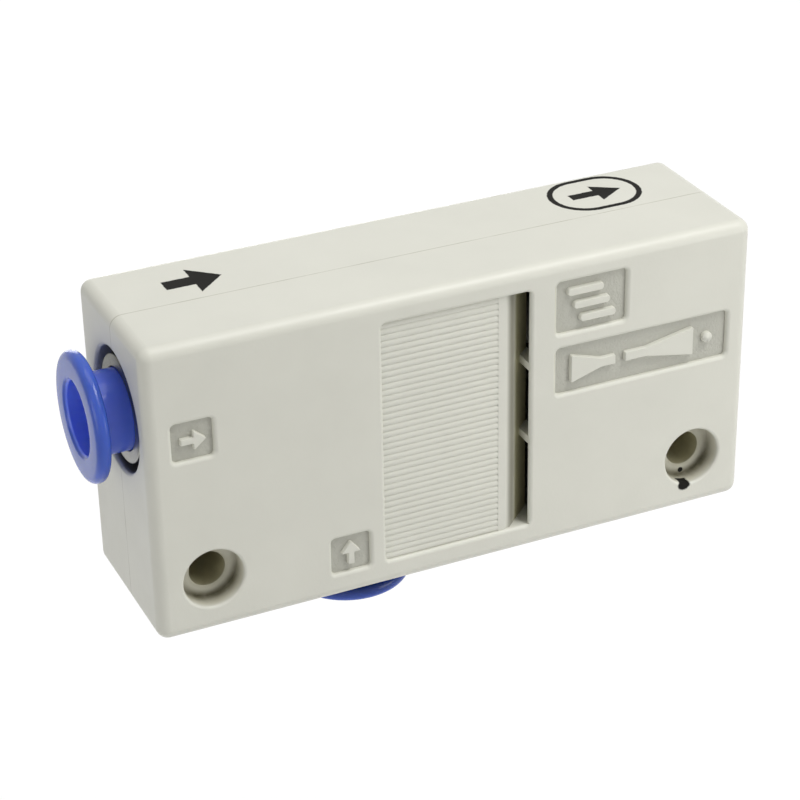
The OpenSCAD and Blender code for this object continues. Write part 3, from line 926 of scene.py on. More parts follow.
CASING_RESIN = MouldedCasing()
BUTTON_RESIN = GlossyBlue()
NICKEL = TurnedMetal()
SPRING_STEEL = TurnedMetal("spring_steel", (0.62, 0.62, 0.64), 0.26)
BRASS = TurnedMetal("turned_brass", (0.72, 0.52, 0.2), 0.3)
RUBBER = Finish("nitrile_rubber", (0.018, 0.018, 0.02), 0.6, 0.0, 0.12, 0.2, 0.15, 1.0, 0.3)
DARK_RESIN = Finish("glass_filled_resin", (0.02, 0.02, 0.02), 0.6, 0.0, 0.2, 0.25, 0.1, 2.0, 0.2)
WHITE_RESIN = Finish("natural_white_resin", (0.8, 0.8, 0.76), 0.42, 0.0, 0.2, 0.1, 0.03, 3.0)
FOAM = Foam()


class Slot(Enum):
    """The record's material slots, each with its finish."""

    CASING = ("casing", CASING_RESIN)
    BUTTON = ("button_blue", BUTTON_RESIN)
    GUIDE = ("guide_metal", NICKEL)
    SPRING = ("spring_steel", SPRING_STEEL)
    NOZZLE = ("nozzle_brass", BRASS)
    RUBBER = ("rubber", RUBBER)
    DARK = ("dark_resin", DARK_RESIN)
    WHITE = ("white_resin", WHITE_RESIN)
    FOAM = ("foam", FOAM)

    def __init__(self, key: str, finish: Finish) -> None:
        """Keeps the slot's name in the record and its finish."""
        self.key, self.finish = key, finish

    def coat(self, mesh: bpy.types.Mesh) -> None:
        """Gives every face of a mesh this finish and no other.

        Args:
            mesh: The mesh, in place.
        """
        mesh.materials.clear()
        mesh.materials.append(self.finish.material())
        mesh.polygons.foreach_set("material_index", [0] * len(mesh.polygons))


def place(piece: bpy.types.Object, body: str, slot: Slot, *nodes: str) -> bpy.types.Object:
    """Sets a finished piece on its CAD body and reports it.

    Args:
        piece: The piece, already in place in the frame.
        body: The CAD body that it moves with.
        slot: The record's material slot that its finish comes from; not used.
        *nodes: The CAD nodes that it stands for.

    Returns:
        The same piece.
    """
    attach(piece, body)
    if nodes:
        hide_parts(*nodes)
    LOG.info("%s: %d faces on %s", piece.name, len(piece.data.polygons), body)
    return piece


def dress_node(name: str, slot: Slot) -> None:
    """Gives a CAD node that stays as it is its finish.

    Args:
        name: The node.
        slot: Where the finish comes from.
    """
    node = frame["nodes"][name]
    if not node.material_slots:
        node.data.materials.append(None)
    for holder in node.material_slots:
        holder.material = slot.finish.material()
    LOG.info("%s: CAD solid dressed as %s", name, slot.key)


# ---- geometry trees ----


@dataclass
class GeometryTree:
    """A Geometry Nodes tree with named sizes, and the pieces grown from it."""

    name: str
    sizes: dict[str, float | int | tuple]
    tree: bpy.types.NodeTree = field(init=False)
    pen: NodePen = field(init=False)
    entry: bpy.types.Node = field(init=False)

    def __post_init__(self) -> None:
        self.tree = bpy.data.node_groups.new(self.name, "GeometryNodeTree")
        face = self.tree.interface
        face.new_socket("Geometry", in_out="INPUT", socket_type="NodeSocketGeometry")
        face.new_socket("Finish", in_out="INPUT", socket_type="NodeSocketMaterial")
        kinds = {int: "NodeSocketInt", float: "NodeSocketFloat", tuple: "NodeSocketVector"}
        for label, value in self.sizes.items():
            face.new_socket(label, in_out="INPUT", socket_type=kinds[type(value)])
        face.new_socket("Geometry", in_out="OUTPUT", socket_type="NodeSocketGeometry")
        self.pen = NodePen(self.tree)
        self.entry = self.pen.add("NodeGroupInput")

    def size(self, label: str) -> Socket:
        """The socket of one named size."""
        return self.entry.outputs[label]

    def close(self, shape: Socket, **moves: Socket) -> "GeometryTree":
        """Ends the tree: the shape in its place, made real, with its material set.

        Args:
            shape: The geometry that the tree makes.
            **moves: Translation and Rotation that carry it to its place.

        Returns:
            The same tree.
        """
        pen = self.pen
        placed = pen.out("GeometryNodeTransform", {"Geometry": shape, **moves})
        real = pen.out("GeometryNodeRealizeInstances", {0: placed})
        finish = self.entry.outputs["Finish"]
        painted = pen.out("GeometryNodeSetMaterial", {"Geometry": real, "Material": finish})
        pen.add("NodeGroupOutput", {0: painted})
        return self

    def grow(
        self, name: str, slot: Slot, base: bpy.types.Mesh | None = None, **sizes: object
    ) -> bpy.types.Object:
        """Runs the tree and keeps its result as a plain mesh.

        Args:
            name: Name of the piece.
            slot: Where its finish comes from.
            base: The mesh that the tree works on, if it needs one.
            **sizes: Values that differ from the tree's own, with _ for a space.

        Returns:
            The finished piece, at the origin, without modifiers.
        """
        piece = new_piece(name, base or bpy.data.meshes.new(name))
        modifier = piece.modifiers.new(self.name, "NODES")
        modifier.node_group = self.tree
        values = {**self.sizes, "Finish": slot.finish.material()}
        values.update({key.replace("_", " "): value for key, value in sizes.items()})
        for item in self.tree.interface.items_tree:
            if item.in_out == "INPUT" and item.name in values:
                modifier[item.identifier] = values[item.name]
        piece.update_tag()
        bake_modifiers(piece)
        work = bmesh.new()
        work.from_mesh(piece.data)
        bmesh.ops.remove_doubles(work, verts=work.verts, dist=MERGE)
        bmesh.ops.recalc_face_normals(work, faces=work.faces)
        work.to_mesh(piece.data)
        work.free()
        slot.coat(piece.data)
        return piece


def rib_tree() -> GeometryTree:
    """Builds the tree of a field of straight, round-topped ribs stacked along Z.

    Returns:
        The tree.
    """
    sizes = {
        "Count": 40,
        "Pitch": 0.5575 * MM,
        "Length": 10.0 * MM,
        "Half width": 0.2 * MM,
        "Height": 0.16 * MM,
        "Start": ORIGIN,
    }
    made = GeometryTree("rib_field", sizes)
    pen = made.pen
    half_turn = {"Resolution": 11, "Radius": 1.0, "Start Angle": 0.0, "Sweep Angle": math.pi}
    section = pen.out("GeometryNodeFillCurve", {0: pen.out("GeometryNodeCurveArc", half_turn)})
    stretch = pen.combine(made.size("Half width"), made.size("Height"), 1.0)
    shaped = pen.out("GeometryNodeTransform", {"Geometry": section, "Scale": stretch})
    pull = {"Mesh": shaped, "Offset": (0.0, 0.0, 1.0), "Offset Scale": made.size("Length")}
    closed = pen.add("GeometryNodeJoinGeometry")
    pen.feed(closed.inputs[0], pen.out("GeometryNodeExtrudeMesh", {**pull, "Individual": False}))
    pen.feed(closed.inputs[0], pen.out("GeometryNodeFlipFaces", {"Mesh": shaped}))
    lie_down = tuple(Matrix(((0, 0, 1), (0, -1, 0), (1, 0, 0))).to_euler())
    bar = {"Geometry": closed.outputs[0], "Rotation": lie_down}
    laid = pen.out("GeometryNodeTransform", bar)
    rise = pen.combine(0.0, 0.0, made.size("Pitch"))
    row = {"Count": made.size("Count"), "Start Location": made.size("Start"), "Offset": rise}
    spots = pen.out("GeometryNodeMeshLine", row)
    return made.close(pen.out("GeometryNodeInstanceOnPoints", {"Points": spots, "Instance": laid}))


def turning_tree() -> GeometryTree:
    """Builds the tree that turns a closed outline, drawn as radius and height, round an axis.

    Returns:
        The tree.
    """
    made = GeometryTree("turned_part", {"Segments": 96, "Place": ORIGIN, "Turn": ORIGIN})
    pen = made.pen
    outline = made.entry.outputs["Geometry"]
    count = pen.add("GeometryNodeAttributeDomainSize", {0: outline}).outputs["Point Count"]
    columns = pen.math("ADD", made.size("Segments"), 1)
    square = {"Size X": 1.0, "Size Y": 1.0, "Vertices X": columns, "Vertices Y": count}
    grid = pen.out("GeometryNodeMeshGrid", square)
    u, v, _ = pen.split(pen.out("GeometryNodeInputPosition"))
    last = pen.math("SUBTRACT", count, 1)
    index = pen.math("ROUND", pen.math("MULTIPLY", pen.math("ADD", v, 0.5), last))
    wanted = {"Geometry": outline, "Value": pen.out("GeometryNodeInputPosition"), "Index": index}
    kind = {"data_type": "FLOAT_VECTOR", "domain": "POINT", "clamp": True}
    radius, _, height = pen.split(pen.out("GeometryNodeSampleIndex", wanted, **kind))
    turn = pen.math("MULTIPLY", pen.math("ADD", u, 0.5), math.tau)
    x, y = (pen.product(radius, pen.math(wave, turn)) for wave in ("COSINE", "SINE"))
    where = pen.combine(x, y, height)
    turned = pen.out("GeometryNodeSetPosition", {"Geometry": grid, "Position": where})
    merged = pen.out("GeometryNodeMergeByDistance", {"Geometry": turned, "Distance": MERGE})
    return made.close(merged, Translation=made.size("Place"), Rotation=made.size("Turn"))


def finger_tree() -> GeometryTree:
    """Builds the tree that sets copies of one finger round an axis.

    Returns:
        The tree.
    """
    made = GeometryTree("finger_ring", {"Fingers": 8, "Place": ORIGIN, "Turn": ORIGIN})
    pen = made.pen
    spots = pen.out("GeometryNodePoints", {"Count": made.size("Fingers")})
    share = pen.math("DIVIDE", pen.out("GeometryNodeInputIndex"), made.size("Fingers"))
    spin = pen.combine(0.0, 0.0, pen.math("MULTIPLY", share, math.tau))
    finger = made.entry.outputs["Geometry"]
    copies = {"Points": spots, "Instance": finger, "Rotation": spin}
    ring = pen.out("GeometryNodeInstanceOnPoints", copies)
    return made.close(ring, Translation=made.size("Place"), Rotation=made.size("Turn"))


def foam_tree() -> GeometryTree:
    """Builds the tree of a block of open-celled foam, with soft edges and pitted faces.

    Returns:
        The tree.
    """
    sizes = {
        "Size": (10 * MM, 3 * MM, 20 * MM),
        "Centre": ORIGIN,
        "Grid": 0.17 * MM,
        "Edge": 0.6 * MM,
        "Cell": 0.85 * MM,
        "Pit": 0.26 * MM,
        "Seed": 3.7,
    }
    made = GeometryTree("foam_block", sizes)
    pen = made.pen
    size, grid, edge, centre = (made.size(name) for name in ("Size", "Grid", "Edge", "Centre"))
    counts = {
        f"Vertices {axis}": pen.math("CEIL", pen.math("DIVIDE", span, grid))
        for axis, span in zip("XYZ", pen.split(size))
    }
    block = pen.add("GeometryNodeMeshCube", {"Size": size, **counts}).outputs["Mesh"]
    here = pen.out("GeometryNodeInputPosition")
    core = pen.vector("SUBTRACT", pen.scaled(size, 0.5), pen.combine(edge, edge, edge))
    inner = pen.vector("MINIMUM", pen.vector("MAXIMUM", here, pen.scaled(core, -1.0)), core)
    outward = pen.vector("NORMALIZE", pen.vector("SUBTRACT", here, inner))
    scale = pen.math("DIVIDE", 1.0, made.size("Cell"))
    lattice = pen.scaled(pen.vector("ADD", here, centre), scale)
    seed = pen.combine(*(made.size("Seed") for _ in range(3)))
    crystal = {"Vector": pen.vector("ADD", lattice, seed), "Scale": 1.0}
    cells = pen.add("ShaderNodeTexVoronoi", crystal).outputs["Distance"]
    pore = (0.62, 0.12)
    hollow = pen.product(pen.step(cells, pore), made.size("Pit"))
    moved = pen.vector("ADD", inner, pen.scaled(outward, pen.math("SUBTRACT", edge, hollow)))
    shaped = pen.out("GeometryNodeSetPosition", {"Geometry": block, "Position": moved})
    return made.close(shaped, Translation=centre)


def outline_mesh(name: str, outline: list[Point]) -> bpy.types.Mesh:
    """Makes a closed wire of an outline, for the turning tree.

    Args:
        name: Name of the mesh.
        outline: Its points as radius and height.

    Returns:
        The wire, in the plane of X and Z.
    """
    points = [(r * MM, 0.0, h * MM) for r, h in [*outline, outline[0]]]
    mesh = bpy.data.meshes.new(name)
    mesh.from_pydata(points, [(i, i + 1) for i in range(len(points) - 1)], [])
    return mesh


# ---- sub-assemblies ----


@dataclass
class Casing:
    """The two moulded shells with the ribbed panel and the raised symbols in its fields."""

    body: str = "casing"
    corner: float = 1.05
    parting_chamfer: float = 0.05
    rim_angle_rad: float = 1.0
    slack: float = 0.02
    merge: float = 0.001
    flat_deg: float = 0.05
    panel_left: float = -7.1
    panel_width: float = 10.6
    panel_bottom: float = -2.65
    panel_height: float = 22.3
    panel_depth: float = 0.42
    rib_pitch: float = 0.5575
    rib_height: float = 0.145
    rib_half_width: float = 0.305
    rib_sink: float = 0.03
    # A symbol's levels: the depth below the face, and how far its outline is drawn in there.
    symbol_levels: tuple[Point, ...] = ((0.5, 0.0), (0.1, 0.04), (0.05, 0.09))
    symbol_crease_deg: float = 50.0

    def build(self) -> None:
        """Makes the shells, the ribs and the symbols."""
        for node in ("front_shell", "rear_shell"):
            self.shell(node)
        self.ribs()
        self.symbols()

    def shell(self, node: str) -> bpy.types.Object:
        """Dresses one shell: merged, with its parting edge broken, and shaded smooth.

        Args:
            node: The shell's CAD node.

        Returns:
            The piece that stands for the node.
        """
        piece = new_piece(f"{node}_moulding", frame["nodes"][node].data.copy())
        work = bmesh.new()
        work.from_mesh(piece.data)
        bmesh.ops.remove_doubles(work, verts=work.verts, dist=self.merge * MM)
        flat = math.radians(self.flat_deg)
        bmesh.ops.dissolve_limit(work, angle_limit=flat, verts=work.verts, edges=work.edges)
        rim = [edge for edge in work.edges if self.on_parting_rim(edge)]
        cut = {"offset": self.parting_chamfer * MM, "segments": 1, "clamp_overlap": True}
        bmesh.ops.bevel(work, geom=rim, affect="EDGES", **cut)
        work.to_mesh(piece.data)
        work.free()
        Slot.CASING.coat(piece.data)
        smooth_over(piece)
        LOG.info("%s: %d parting edges broken", piece.name, len(rim))
        return place(piece, self.body, Slot.CASING, node)

    def on_parting_rim(self, edge: bmesh.types.BMEdge) -> bool:
        """Tells whether an edge runs along the outside of the parting line.

        Args:
            edge: An edge of a shell.

        Returns:
            True if it does.
        """
        mid, half = (TOP + BOTTOM) / 2, (TOP - BOTTOM) / 2
        for vert in edge.verts:
            x, y, z = (c / MM for c in vert.co)
            inset = RIGHT - abs(x), half - abs(z - mid)
            on_outline = min(inset) < self.slack or max(inset) < self.corner + self.slack
            if abs(y - PARTING) > self.slack or not on_outline:
                return False
        return len(edge.link_faces) == 2 and edge.calc_face_angle(0.0) > self.rim_angle_rad

    def ribs(self) -> bpy.types.Object:
        """Grows the panel's ribs, sunk a little into the grooves' floor and the recess's walls.

        Returns:
            The finished piece.
        """
        count = round(self.panel_height / self.rib_pitch)
        pitch = self.panel_height / count
        floor = FRONT + self.panel_depth + self.rib_sink
        start = (self.panel_left - self.rib_sink, floor, self.panel_bottom + pitch / 2)
        piece = rib_tree().grow(
            "panel_ribs",
            Slot.CASING,
            Count=count,
            Pitch=pitch * MM,
            Length=(self.panel_width + 2 * self.rib_sink) * MM,
            Half_width=self.rib_half_width * MM,
            Height=(self.rib_height + self.rib_sink) * MM,
            Start=tuple(c * MM for c in start),
        )
        smooth_over(piece)
        return place(piece, self.body, Slot.CASING)

    def symbols(self) -> None:
        """Raises a plain symbol in each of the four fields."""
        arrow_right = [
            (-1.05, -0.3, 0.08), (-1.05, 0.3, 0.08), (0.05, 0.3, 0.05), (0.05, 0.95, 0.1),
            (1.2, 0.0, 0.12), (0.05, -0.95, 0.1), (0.05, -0.3, 0.05),
        ]
        arrow_up = [(-z, x, r) for x, z, r in arrow_right]
        bars = [
            [(-2.3 + s, h - 0.36, 0.3), (-2.3 + s, h + 0.36, 0.3),
             (1.1 + s, h + 0.36, 0.3), (1.1 + s, h - 0.36, 0.3)]
            for s, h in ((0.0, 1.3), (0.6, 0.0), (1.2, -1.3))
        ]
        inlet = [
            (-6.9, -1.35, 0.15), (-6.9, 1.35, 0.15), (-4.0, 0.45, 0.3), (-2.6, 0.45, 0.1),
            (-2.6, -0.45, 0.1), (-4.0, -0.45, 0.3),
        ]
        horn = [
            (-1.7, -0.45, 0.1), (-1.7, 0.45, 0.1), (0.3, 0.45, 0.3), (5.0, 1.35, 0.15),
            (5.0, -1.35, 0.15), (0.3, -0.45, 0.3),
        ]
        dot = [(5.9, -0.5, 0.49), (5.9, 0.5, 0.49), (6.9, 0.5, 0.49), (6.9, -0.5, 0.49)]
        self.symbol("supply_symbol", (-23.58, 13.15), [arrow_right])
        self.symbol("vacuum_symbol", (-10.3, -0.98), [arrow_up])
        self.symbol("outlet_symbol", (12.15, 17.45), bars)
        self.symbol("flow_symbol", (17.15, 11.52), [inlet, horn, dot])

    def symbol(self, name: str, centre: Point, shapes: list[list[Corner]]) -> bpy.types.Object:
        """Raises flat shapes with drafted sides from a field's floor.

        Args:
            name: Name of the piece.
            centre: Middle of the field, in x and z.
            shapes: Outlines round that middle, each corner as x, z and a radius.

        Returns:
            The finished piece.
        """
        work = bmesh.new()
        for shape in shapes:
            outline = rounded_outline(shape)
            rings = []
            for depth, inset in self.symbol_levels:
                spots = [(centre[0] + x, FRONT + depth, centre[1] + z)
                         for x, z in self.inset_outline(outline, inset)]
                rings.append([work.verts.new([c * MM for c in spot]) for spot in spots])
            for low, high in zip(rings, rings[1:]):
                for i in range(len(low)):
                    work.faces.new((low[i - 1], low[i], high[i], high[i - 1]))
            work.faces.new(rings[-1])
            work.faces.new(rings[0])
        bmesh.ops.recalc_face_normals(work, faces=work.faces)
        piece = new_piece(name, mesh_from(work, name))
        Slot.CASING.coat(piece.data)
        smooth_over(piece, self.symbol_crease_deg)
        return place(piece, self.body, Slot.CASING)

    @staticmethod
    def inset_outline(outline: list[Point], inset: float) -> list[Point]:
        """Moves an outline's points inwards along their own normals.

        Args:
            outline: The points, in order.
            inset: How far they move.

        Returns:
            The moved points.
        """
        points = [Vector(p) for p in outline]
        area = sum(a.cross(b) for a, b in zip(points, points[1:] + points[:1]))
        inward = inset if area > 0 else -inset
        moved = []
        for i, here in enumerate(points):
            along = (points[(i + 1) % len(points)] - points[i - 1]).normalized()
            moved.append(tuple(here + Vector((-along.y, along.x)) * inward))
        return moved


class PortSide(Enum):
    """The two push-in ports."""

    SUPPLY = ("supply", (LEFT, PORT_Y, SUPPLY_Z), (0.0, math.pi / 2, 0.0), 0.0)
    VACUUM = ("vacuum", (VACUUM_X, PORT_Y, BOTTOM), ORIGIN, 1.2)

    def __init__(self, key: str, mouth: Triple, turn: Triple, slide: float) -> None:
        """Keeps a port's values.

        Args:
            key: The port's name in the CAD.
            mouth: Centre of the opening in the casing's face, in millimetres.
            turn: Rotation that carries +Z onto the axis into the casing.
            slide: How far in the button sits at rest, in millimetres.
        """
        self.key = key
        self.button_body = f"{key}_button"
        self.mouth = tuple(c * MM for c in mouth)
        self.turn = turn
        self.slide = slide


@dataclass
class PushInPort:
    """One push-in cartridge: release button, guide ring, chuck, collet and seal.

    Radii are measured from the port's axis, and places along it from the casing's face inwards.
    """

    side: PortSide
    turning: GeometryTree
    fingers: GeometryTree
    body: str = "casing"
    bore: float = 3.1
    dish: float = 0.3
    flange: float = 5.5
    flange_thickness: float = 1.25
    flange_round: float = 0.6
    stand_off: float = 3.4
    sleeve: float = 3.45
    barb: float = 3.9
    barb_start: float = 1.7
    barb_crest: float = 0.3
    barb_end: float = 2.3
    nose: float = 3.6
    nose_draft: float = 0.15
    nose_round: float = 0.08
    guide_outer: float = 4.6
    throat: float = 3.52
    cavity: float = 4.0
    guide_face: float = 0.3
    throat_end: float = 1.6
    guide_end: float = 5.3
    chuck_rim: float = 4.55
    chuck_thickness: float = 0.22
    chuck_round: float = 0.04
    fingertip: float = 2.95
    finger_length: float = 0.85
    finger_count: int = 8
    finger_slot: float = 0.4
    finger_lap: float = 0.03
    finger_sink: float = 0.01
    leg_slot: float = 0.7
    leg_slot_start: float = 0.95
    leg_slot_overhang: float = 0.3
    leg_slot_spare: float = 0.5
    leg_slot_turns: tuple[float, float] = (45.0, 135.0)
    segments: int = 128
    crease_deg: float = 40.0

    def build(self) -> None:
        """Makes the button, the guide ring and the chuck, and dresses the rings behind them."""
        self.button()
        self.guide()
        self.chuck()
        dress_node(f"{self.side.key}_collet", Slot.WHITE)
        dress_node(f"{self.side.key}_seal", Slot.RUBBER)

    def turned(self, part: str, slot: Slot, corners: list[Corner], body: str) -> bpy.types.Object:
        """Turns an outline round the port's axis.

        Args:
            part: The CAD part that it stands for, without the port's name.
            slot: Where its finish comes from.
            corners: The outline's corners as radius, place along the axis, and rounding.
            body: The CAD body that it rides on.

        Returns:
            The finished piece.
        """
        node = f"{self.side.key}_{part}"
        name = f"{node}_turned"
        wire = outline_mesh(name, rounded_outline(corners))
        where = {"Place": self.side.mouth, "Turn": self.side.turn}
        piece = self.turning.grow(name, slot, wire, Segments=self.segments, **where)
        smooth_over(piece, self.crease_deg)
        return place(piece, body, slot, node)

    def button(self) -> None:
        """Turns the flanged button, with the dished edge round its bore, and slots its sleeve."""
        s = self.side.slide
        face = s - self.stand_off
        back = face + self.flange_thickness
        corners = [
            (self.bore, face + self.dish, 0.12),
            (self.bore + self.dish, face, 0.15),
            (self.flange, face, self.flange_round),
            (self.flange, back, self.flange_round * 0.9),
            (self.sleeve, back, 0.2),
            (self.sleeve, self.barb_start + s, 0.0),
            (self.barb, self.barb_start + s, 0.05),
            (self.barb, self.barb_start + self.barb_crest + s, 0.05),
            (self.sleeve, self.barb_end + s, 0.1),
            (self.sleeve - self.nose_draft, self.nose + s, self.nose_round),
            (self.bore, self.nose + s, self.nose_round),
        ]
        button = self.turned("release_button", Slot.BUTTON, corners, self.side.button_body)
        self.cut_leg_slots(button)

    def cut_leg_slots(self, button: bpy.types.Object) -> None:
        """Cuts the slots that part the sleeve into four springy legs.

        Args:
            button: The turned button; its mesh is changed.
        """
        start = (self.leg_slot_start + self.side.slide) * MM
        end = (self.nose + self.side.slide + self.leg_slot_spare) * MM
        across = 2 * (self.barb + self.leg_slot_overhang) * MM
        size = Matrix.Diagonal((across, self.leg_slot * MM, end - start, 1))
        lift = Matrix.Translation((0.0, 0.0, (start + end) / 2))
        to_port = Matrix.Translation(self.side.mouth) @ Euler(self.side.turn).to_matrix().to_4x4()
        for angle in self.leg_slot_turns:
            shape = bmesh.new()
            bmesh.ops.create_cube(shape, size=1.0)
            shape.transform(to_port @ Matrix.Rotation(math.radians(angle), 4, "Z") @ lift @ size)
            cutter = new_piece("leg_slot_cutter", mesh_from(shape, "leg_slot_cutter"))
            cut = button.modifiers.new("leg_slots", "BOOLEAN")
            cut.operation, cut.solver, cut.object = "DIFFERENCE", "EXACT", cutter
            bake_modifiers(button)
            bpy.data.objects.remove(cutter)
        smooth_over(button, self.crease_deg)

    def guide(self) -> bpy.types.Object:
        """Turns the metal guide ring that shows round the button's sleeve.

        Returns:
            The finished piece.
        """
        corners = [
            (self.throat, self.guide_face, 0.1),
            (self.guide_outer, self.guide_face, 0.2),
            (self.guide_outer, self.guide_end, 0.0),
            (self.cavity, self.guide_end, 0.0),
            (self.cavity, self.throat_end, 0.0),
            (self.throat, self.throat_end, 0.0),
        ]
        return self.turned("guide", Slot.GUIDE, corners, self.body)

    def chuck(self) -> bpy.types.Object:
        """Turns the chuck's flat rim and sets its fingers round it.

        Returns:
            The ring of fingers.
        """
        start, t = self.guide_end, self.chuck_thickness
        corners = [
            (self.cavity - t / 2, start, 0.0),
            (self.chuck_rim, start, self.chuck_round),
            (self.chuck_rim, start + t, self.chuck_round),
            (self.cavity - t, start + t, 0.0),
        ]
        self.turned("chuck", Slot.SPRING, corners, self.body)
        name = f"{self.side.key}_chuck_fingers"
        where = {"Place": self.side.mouth, "Turn": self.side.turn}
        finger = self.finger_mesh(name)
        ring = self.fingers.grow(name, Slot.SPRING, finger, Fingers=self.finger_count, **where)
        smooth_over(ring, self.crease_deg)
        return place(ring, self.body, Slot.SPRING)

    def finger_mesh(self, name: str, columns: int = 8) -> bpy.types.Mesh:
        """Makes one bent finger with straight-sided gaps to its neighbours.

        Args:
            name: Name of the mesh.
            columns: Steps along the finger's arc.

        Returns:
            A closed mesh round +Z, with its middle on +X.
        """
        start, t = self.guide_end, self.chuck_thickness
        root = self.cavity + self.finger_lap
        section = [
            (root - t / 2, start + self.finger_sink),
            (root - t, start + t - self.finger_sink),
            (self.fingertip, start + t + self.finger_length),
            (self.fingertip, start + self.finger_length),
        ]
        shape = bmesh.new()
        rows = []
        for radius, height in section:
            half = math.pi / self.finger_count - math.asin(self.finger_slot / 2 / radius)
            turns = [half * (2 * i / columns - 1) for i in range(columns + 1)]
            ring = [(radius * math.cos(a) * MM, radius * math.sin(a) * MM) for a in turns]
            rows.append([shape.verts.new((x, y, height * MM)) for x, y in ring])
        for here, following in zip(rows, rows[1:] + rows[:1]):
            for i in range(columns):
                shape.faces.new((here[i], here[i + 1], following[i + 1], following[i]))
        for i in (0, columns):
            shape.faces.new([row[i] for row in rows])
        bmesh.ops.recalc_face_normals(shape, faces=shape.faces)
        return mesh_from(shape, name)


@dataclass
class AirPath:
    """The port block with the nozzle, the diffuser and their O-rings, inside the casing."""

    finishes: tuple[tuple[str, Slot], ...] = (
        ("port_block", Slot.DARK),
        ("nozzle", Slot.NOZZLE),
        ("nozzle_o_ring", Slot.RUBBER),
        ("diffuser", Slot.WHITE),
        ("diffuser_o_ring", Slot.RUBBER),
    )

    def build(self) -> None:
        """Gives the CAD nodes their finishes."""
        for node, slot in self.finishes:
            dress_node(node, slot)


@dataclass
class Silencer:
    """The foam pads that line the exhaust chamber, each with the seed of its pores."""

    body: str = "casing"
    seeds: tuple[tuple[str, float], ...] = (("front", 1.3), ("rear", 5.1), ("end", 8.9))
    crease_deg: float = 60.0

    def build(self) -> None:
        """Makes the pads."""
        foam = foam_tree()
        for where, seed in self.seeds:
            self.pad(foam, where, seed)

    def pad(self, foam: GeometryTree, where: str, seed: float) -> bpy.types.Object:
        """Args:
            foam: The tree that it grows from.
            where: Its place in the chamber, as the CAD names it.
            seed: Seed of its pores.

        Returns:
            The finished piece.
        """
        node = f"silencer_{where}_pad"
        low, high = cad_box(node)
        size = tuple((b - a) * MM for a, b in zip(low, high))
        centre = tuple((a + b) / 2 * MM for a, b in zip(low, high))
        name = f"silencer_{where}_foam"
        piece = foam.grow(name, Slot.FOAM, Size=size, Centre=centre, Seed=seed)
        smooth_over(piece, self.crease_deg)
        place(piece, self.body, Slot.FOAM, node)
        return piece


# ---- studio ----


@dataclass(frozen=True)
class SoftLamp:
    """A round area lamp, by its direction from the part, its distance, its size and its power."""

    name: str
    direction: Triple
    distance: float
    size: float
    power: float

    def hang(self, target: Vector) -> None:
        """Adds the lamp.

        Args:
            target: The place that it points at, in metres.
        """
        towards = Vector(self.direction).normalized()
        lamp = bpy.data.lights.new(self.name, "AREA")
        lamp.shape = "DISK"
        lamp.size = self.size * MM
        lamp.energy = self.power
        holder = new_piece(self.name, lamp)
        holder.location = target + towards * self.distance * MM
        holder.rotation_euler = towards.to_track_quat("Z", "Y").to_euler()


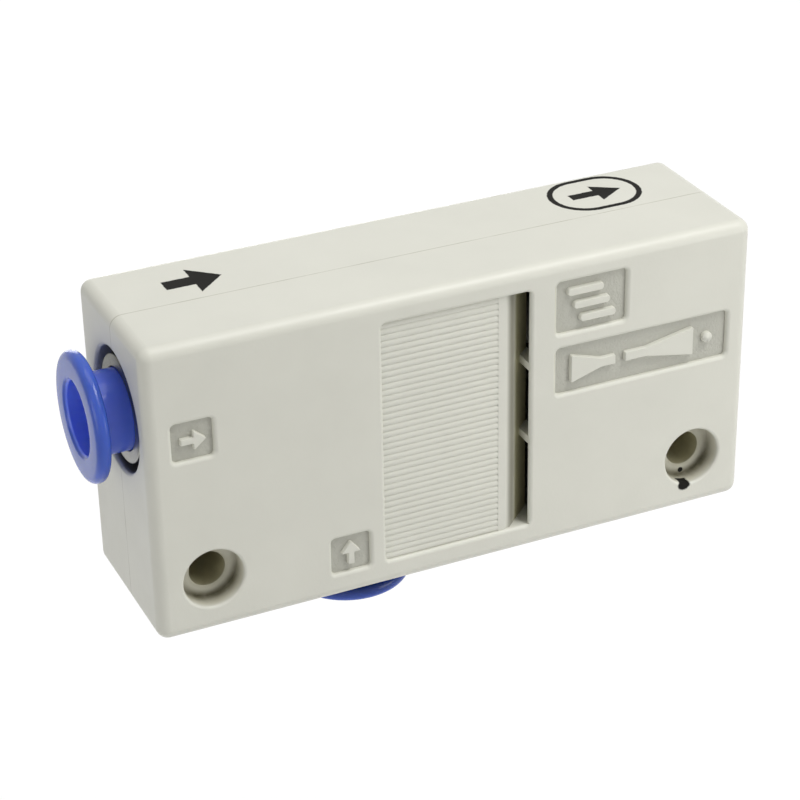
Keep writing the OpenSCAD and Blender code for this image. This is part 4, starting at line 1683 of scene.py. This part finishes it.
@dataclass
class Studio:
    """Camera, lamps, world and floor."""

    target: Triple = (-2.181, -7.65, 7.955)
    azimuth: float = -24.235
    elevation: float = 28.5
    roll: float = -1.101
    distance: float = 209.895
    lens: float = 110.466
    sensor: float = 36.0
    clip: tuple[float, float] = (5.0, 5000.0)
    ambient: float = 0.25
    floor_level: float = -42.0
    floor_reach: float = 3000.0
    floor_grey: float = 0.86
    floor_glow: float = 1.06
    floor_glow_share: float = 0.9
    lamps: tuple[SoftLamp, ...] = (
        SoftLamp("key", (0.36, -0.3, 0.88), 330.0, 140.0, 0.51),
        SoftLamp("front_top", (0.36, -0.53, 0.77), 330.0, 150.0, 0.165),
        SoftLamp("top_fill", (0.0, 0.1, 1.0), 260.0, 160.0, 0.165),
        SoftLamp("left_fill", (-0.9, -0.35, 0.2), 260.0, 160.0, 0.138),
        SoftLamp("right_fill", (0.69, -0.72, 0.1), 125.0, 70.0, 0.036),
        SoftLamp("rear_fill", (0.2, 1.0, 0.0), 260.0, 160.0, 0.12),
    )

    def build(self) -> None:
        """Sets up the whole studio."""
        self.camera()
        self.world()
        for lamp in self.lamps:
            lamp.hang(Vector(self.target) * MM)
        self.floor()
        bpy.context.scene.view_settings.view_transform = "Standard"
        LOG.info("studio: camera, %d lamps, world and floor", len(self.lamps))

    def camera(self) -> None:
        """Aims the camera."""
        a, e = math.radians(self.azimuth), math.radians(self.elevation)
        back = Vector((math.sin(a) * math.cos(e), -math.cos(a) * math.cos(e), math.sin(e)))
        lens = bpy.data.cameras.new("camera")
        lens.lens = self.lens
        lens.sensor_width = self.sensor
        lens.clip_start, lens.clip_end = (reach * MM for reach in self.clip)
        camera = new_piece("camera", lens)
        camera.rotation_mode = "QUATERNION"
        level = back.to_track_quat("Z", "Y")
        camera.rotation_quaternion = level @ Quaternion((0, 0, 1), math.radians(self.roll))
        camera.location = (Vector(self.target) + back * self.distance) * MM
        bpy.context.scene.camera = camera

    def world(self) -> None:
        """Lights evenly from all sides, and shows white to the camera and in reflections."""
        world = bpy.data.worlds.new("studio")
        pen = NodePen.on(world)
        ray = pen.add("ShaderNodeLightPath").outputs
        kinds = ("Camera", "Glossy", "Transmission")
        seen = pen.largest(*(ray[f"Is {kind} Ray"] for kind in kinds))
        strength = pen.out("ShaderNodeMapRange", {0: seen, 3: self.ambient, 4: 1.0})
        sky = pen.out("ShaderNodeBackground", {"Color": WHITE, "Strength": strength})
        pen.add("ShaderNodeOutputWorld", {"Surface": sky})
        bpy.context.scene.world = world

    def floor(self) -> None:
        """Lays a wide, plain, pale floor well below the part, clear when seen from below."""
        reach, level = self.floor_reach * MM, self.floor_level * MM
        corners = [(-reach, -reach), (reach, -reach), (reach, reach), (-reach, reach)]
        mesh = bpy.data.meshes.new("floor")
        mesh.from_pydata([(x, y, level) for x, y in corners], [], [(0, 1, 2, 3)])
        paint = bpy.data.materials.new("floor_paper")
        pen = NodePen.on(paint)
        ray = pen.add("ShaderNodeLightPath").outputs
        seen = pen.largest(ray["Is Camera Ray"], ray["Is Glossy Ray"])
        paper = pen.out("ShaderNodeBsdfDiffuse", {"Color": (*(self.floor_grey,) * 3, 1.0)})
        glow = pen.out("ShaderNodeEmission", {"Color": WHITE, "Strength": self.floor_glow})
        share = pen.product(seen, self.floor_glow_share)
        above = pen.out("ShaderNodeMixShader", {0: share, 1: paper, 2: glow})
        clear = pen.out("ShaderNodeBsdfTransparent")
        below = pen.add("ShaderNodeNewGeometry").outputs["Backfacing"]
        one_sided = pen.out("ShaderNodeMixShader", {0: below, 1: above, 2: clear})
        pen.add("ShaderNodeOutputMaterial", {"Surface": one_sided})
        mesh.materials.append(paint)
        new_piece("floor", mesh)


def main() -> None:
    """Builds the studio and every sub-assembly in order."""
    logging.basicConfig(level=logging.INFO, format="%(name)s: %(message)s", stream=sys.stdout)
    Studio().build()
    Casing().build()
    turning, fingers = turning_tree(), finger_tree()
    for side in PortSide:
        PushInPort(side, turning, fingers).build()
    AirPath().build()
    Silencer().build()


if __name__ == "__main__":
    main()
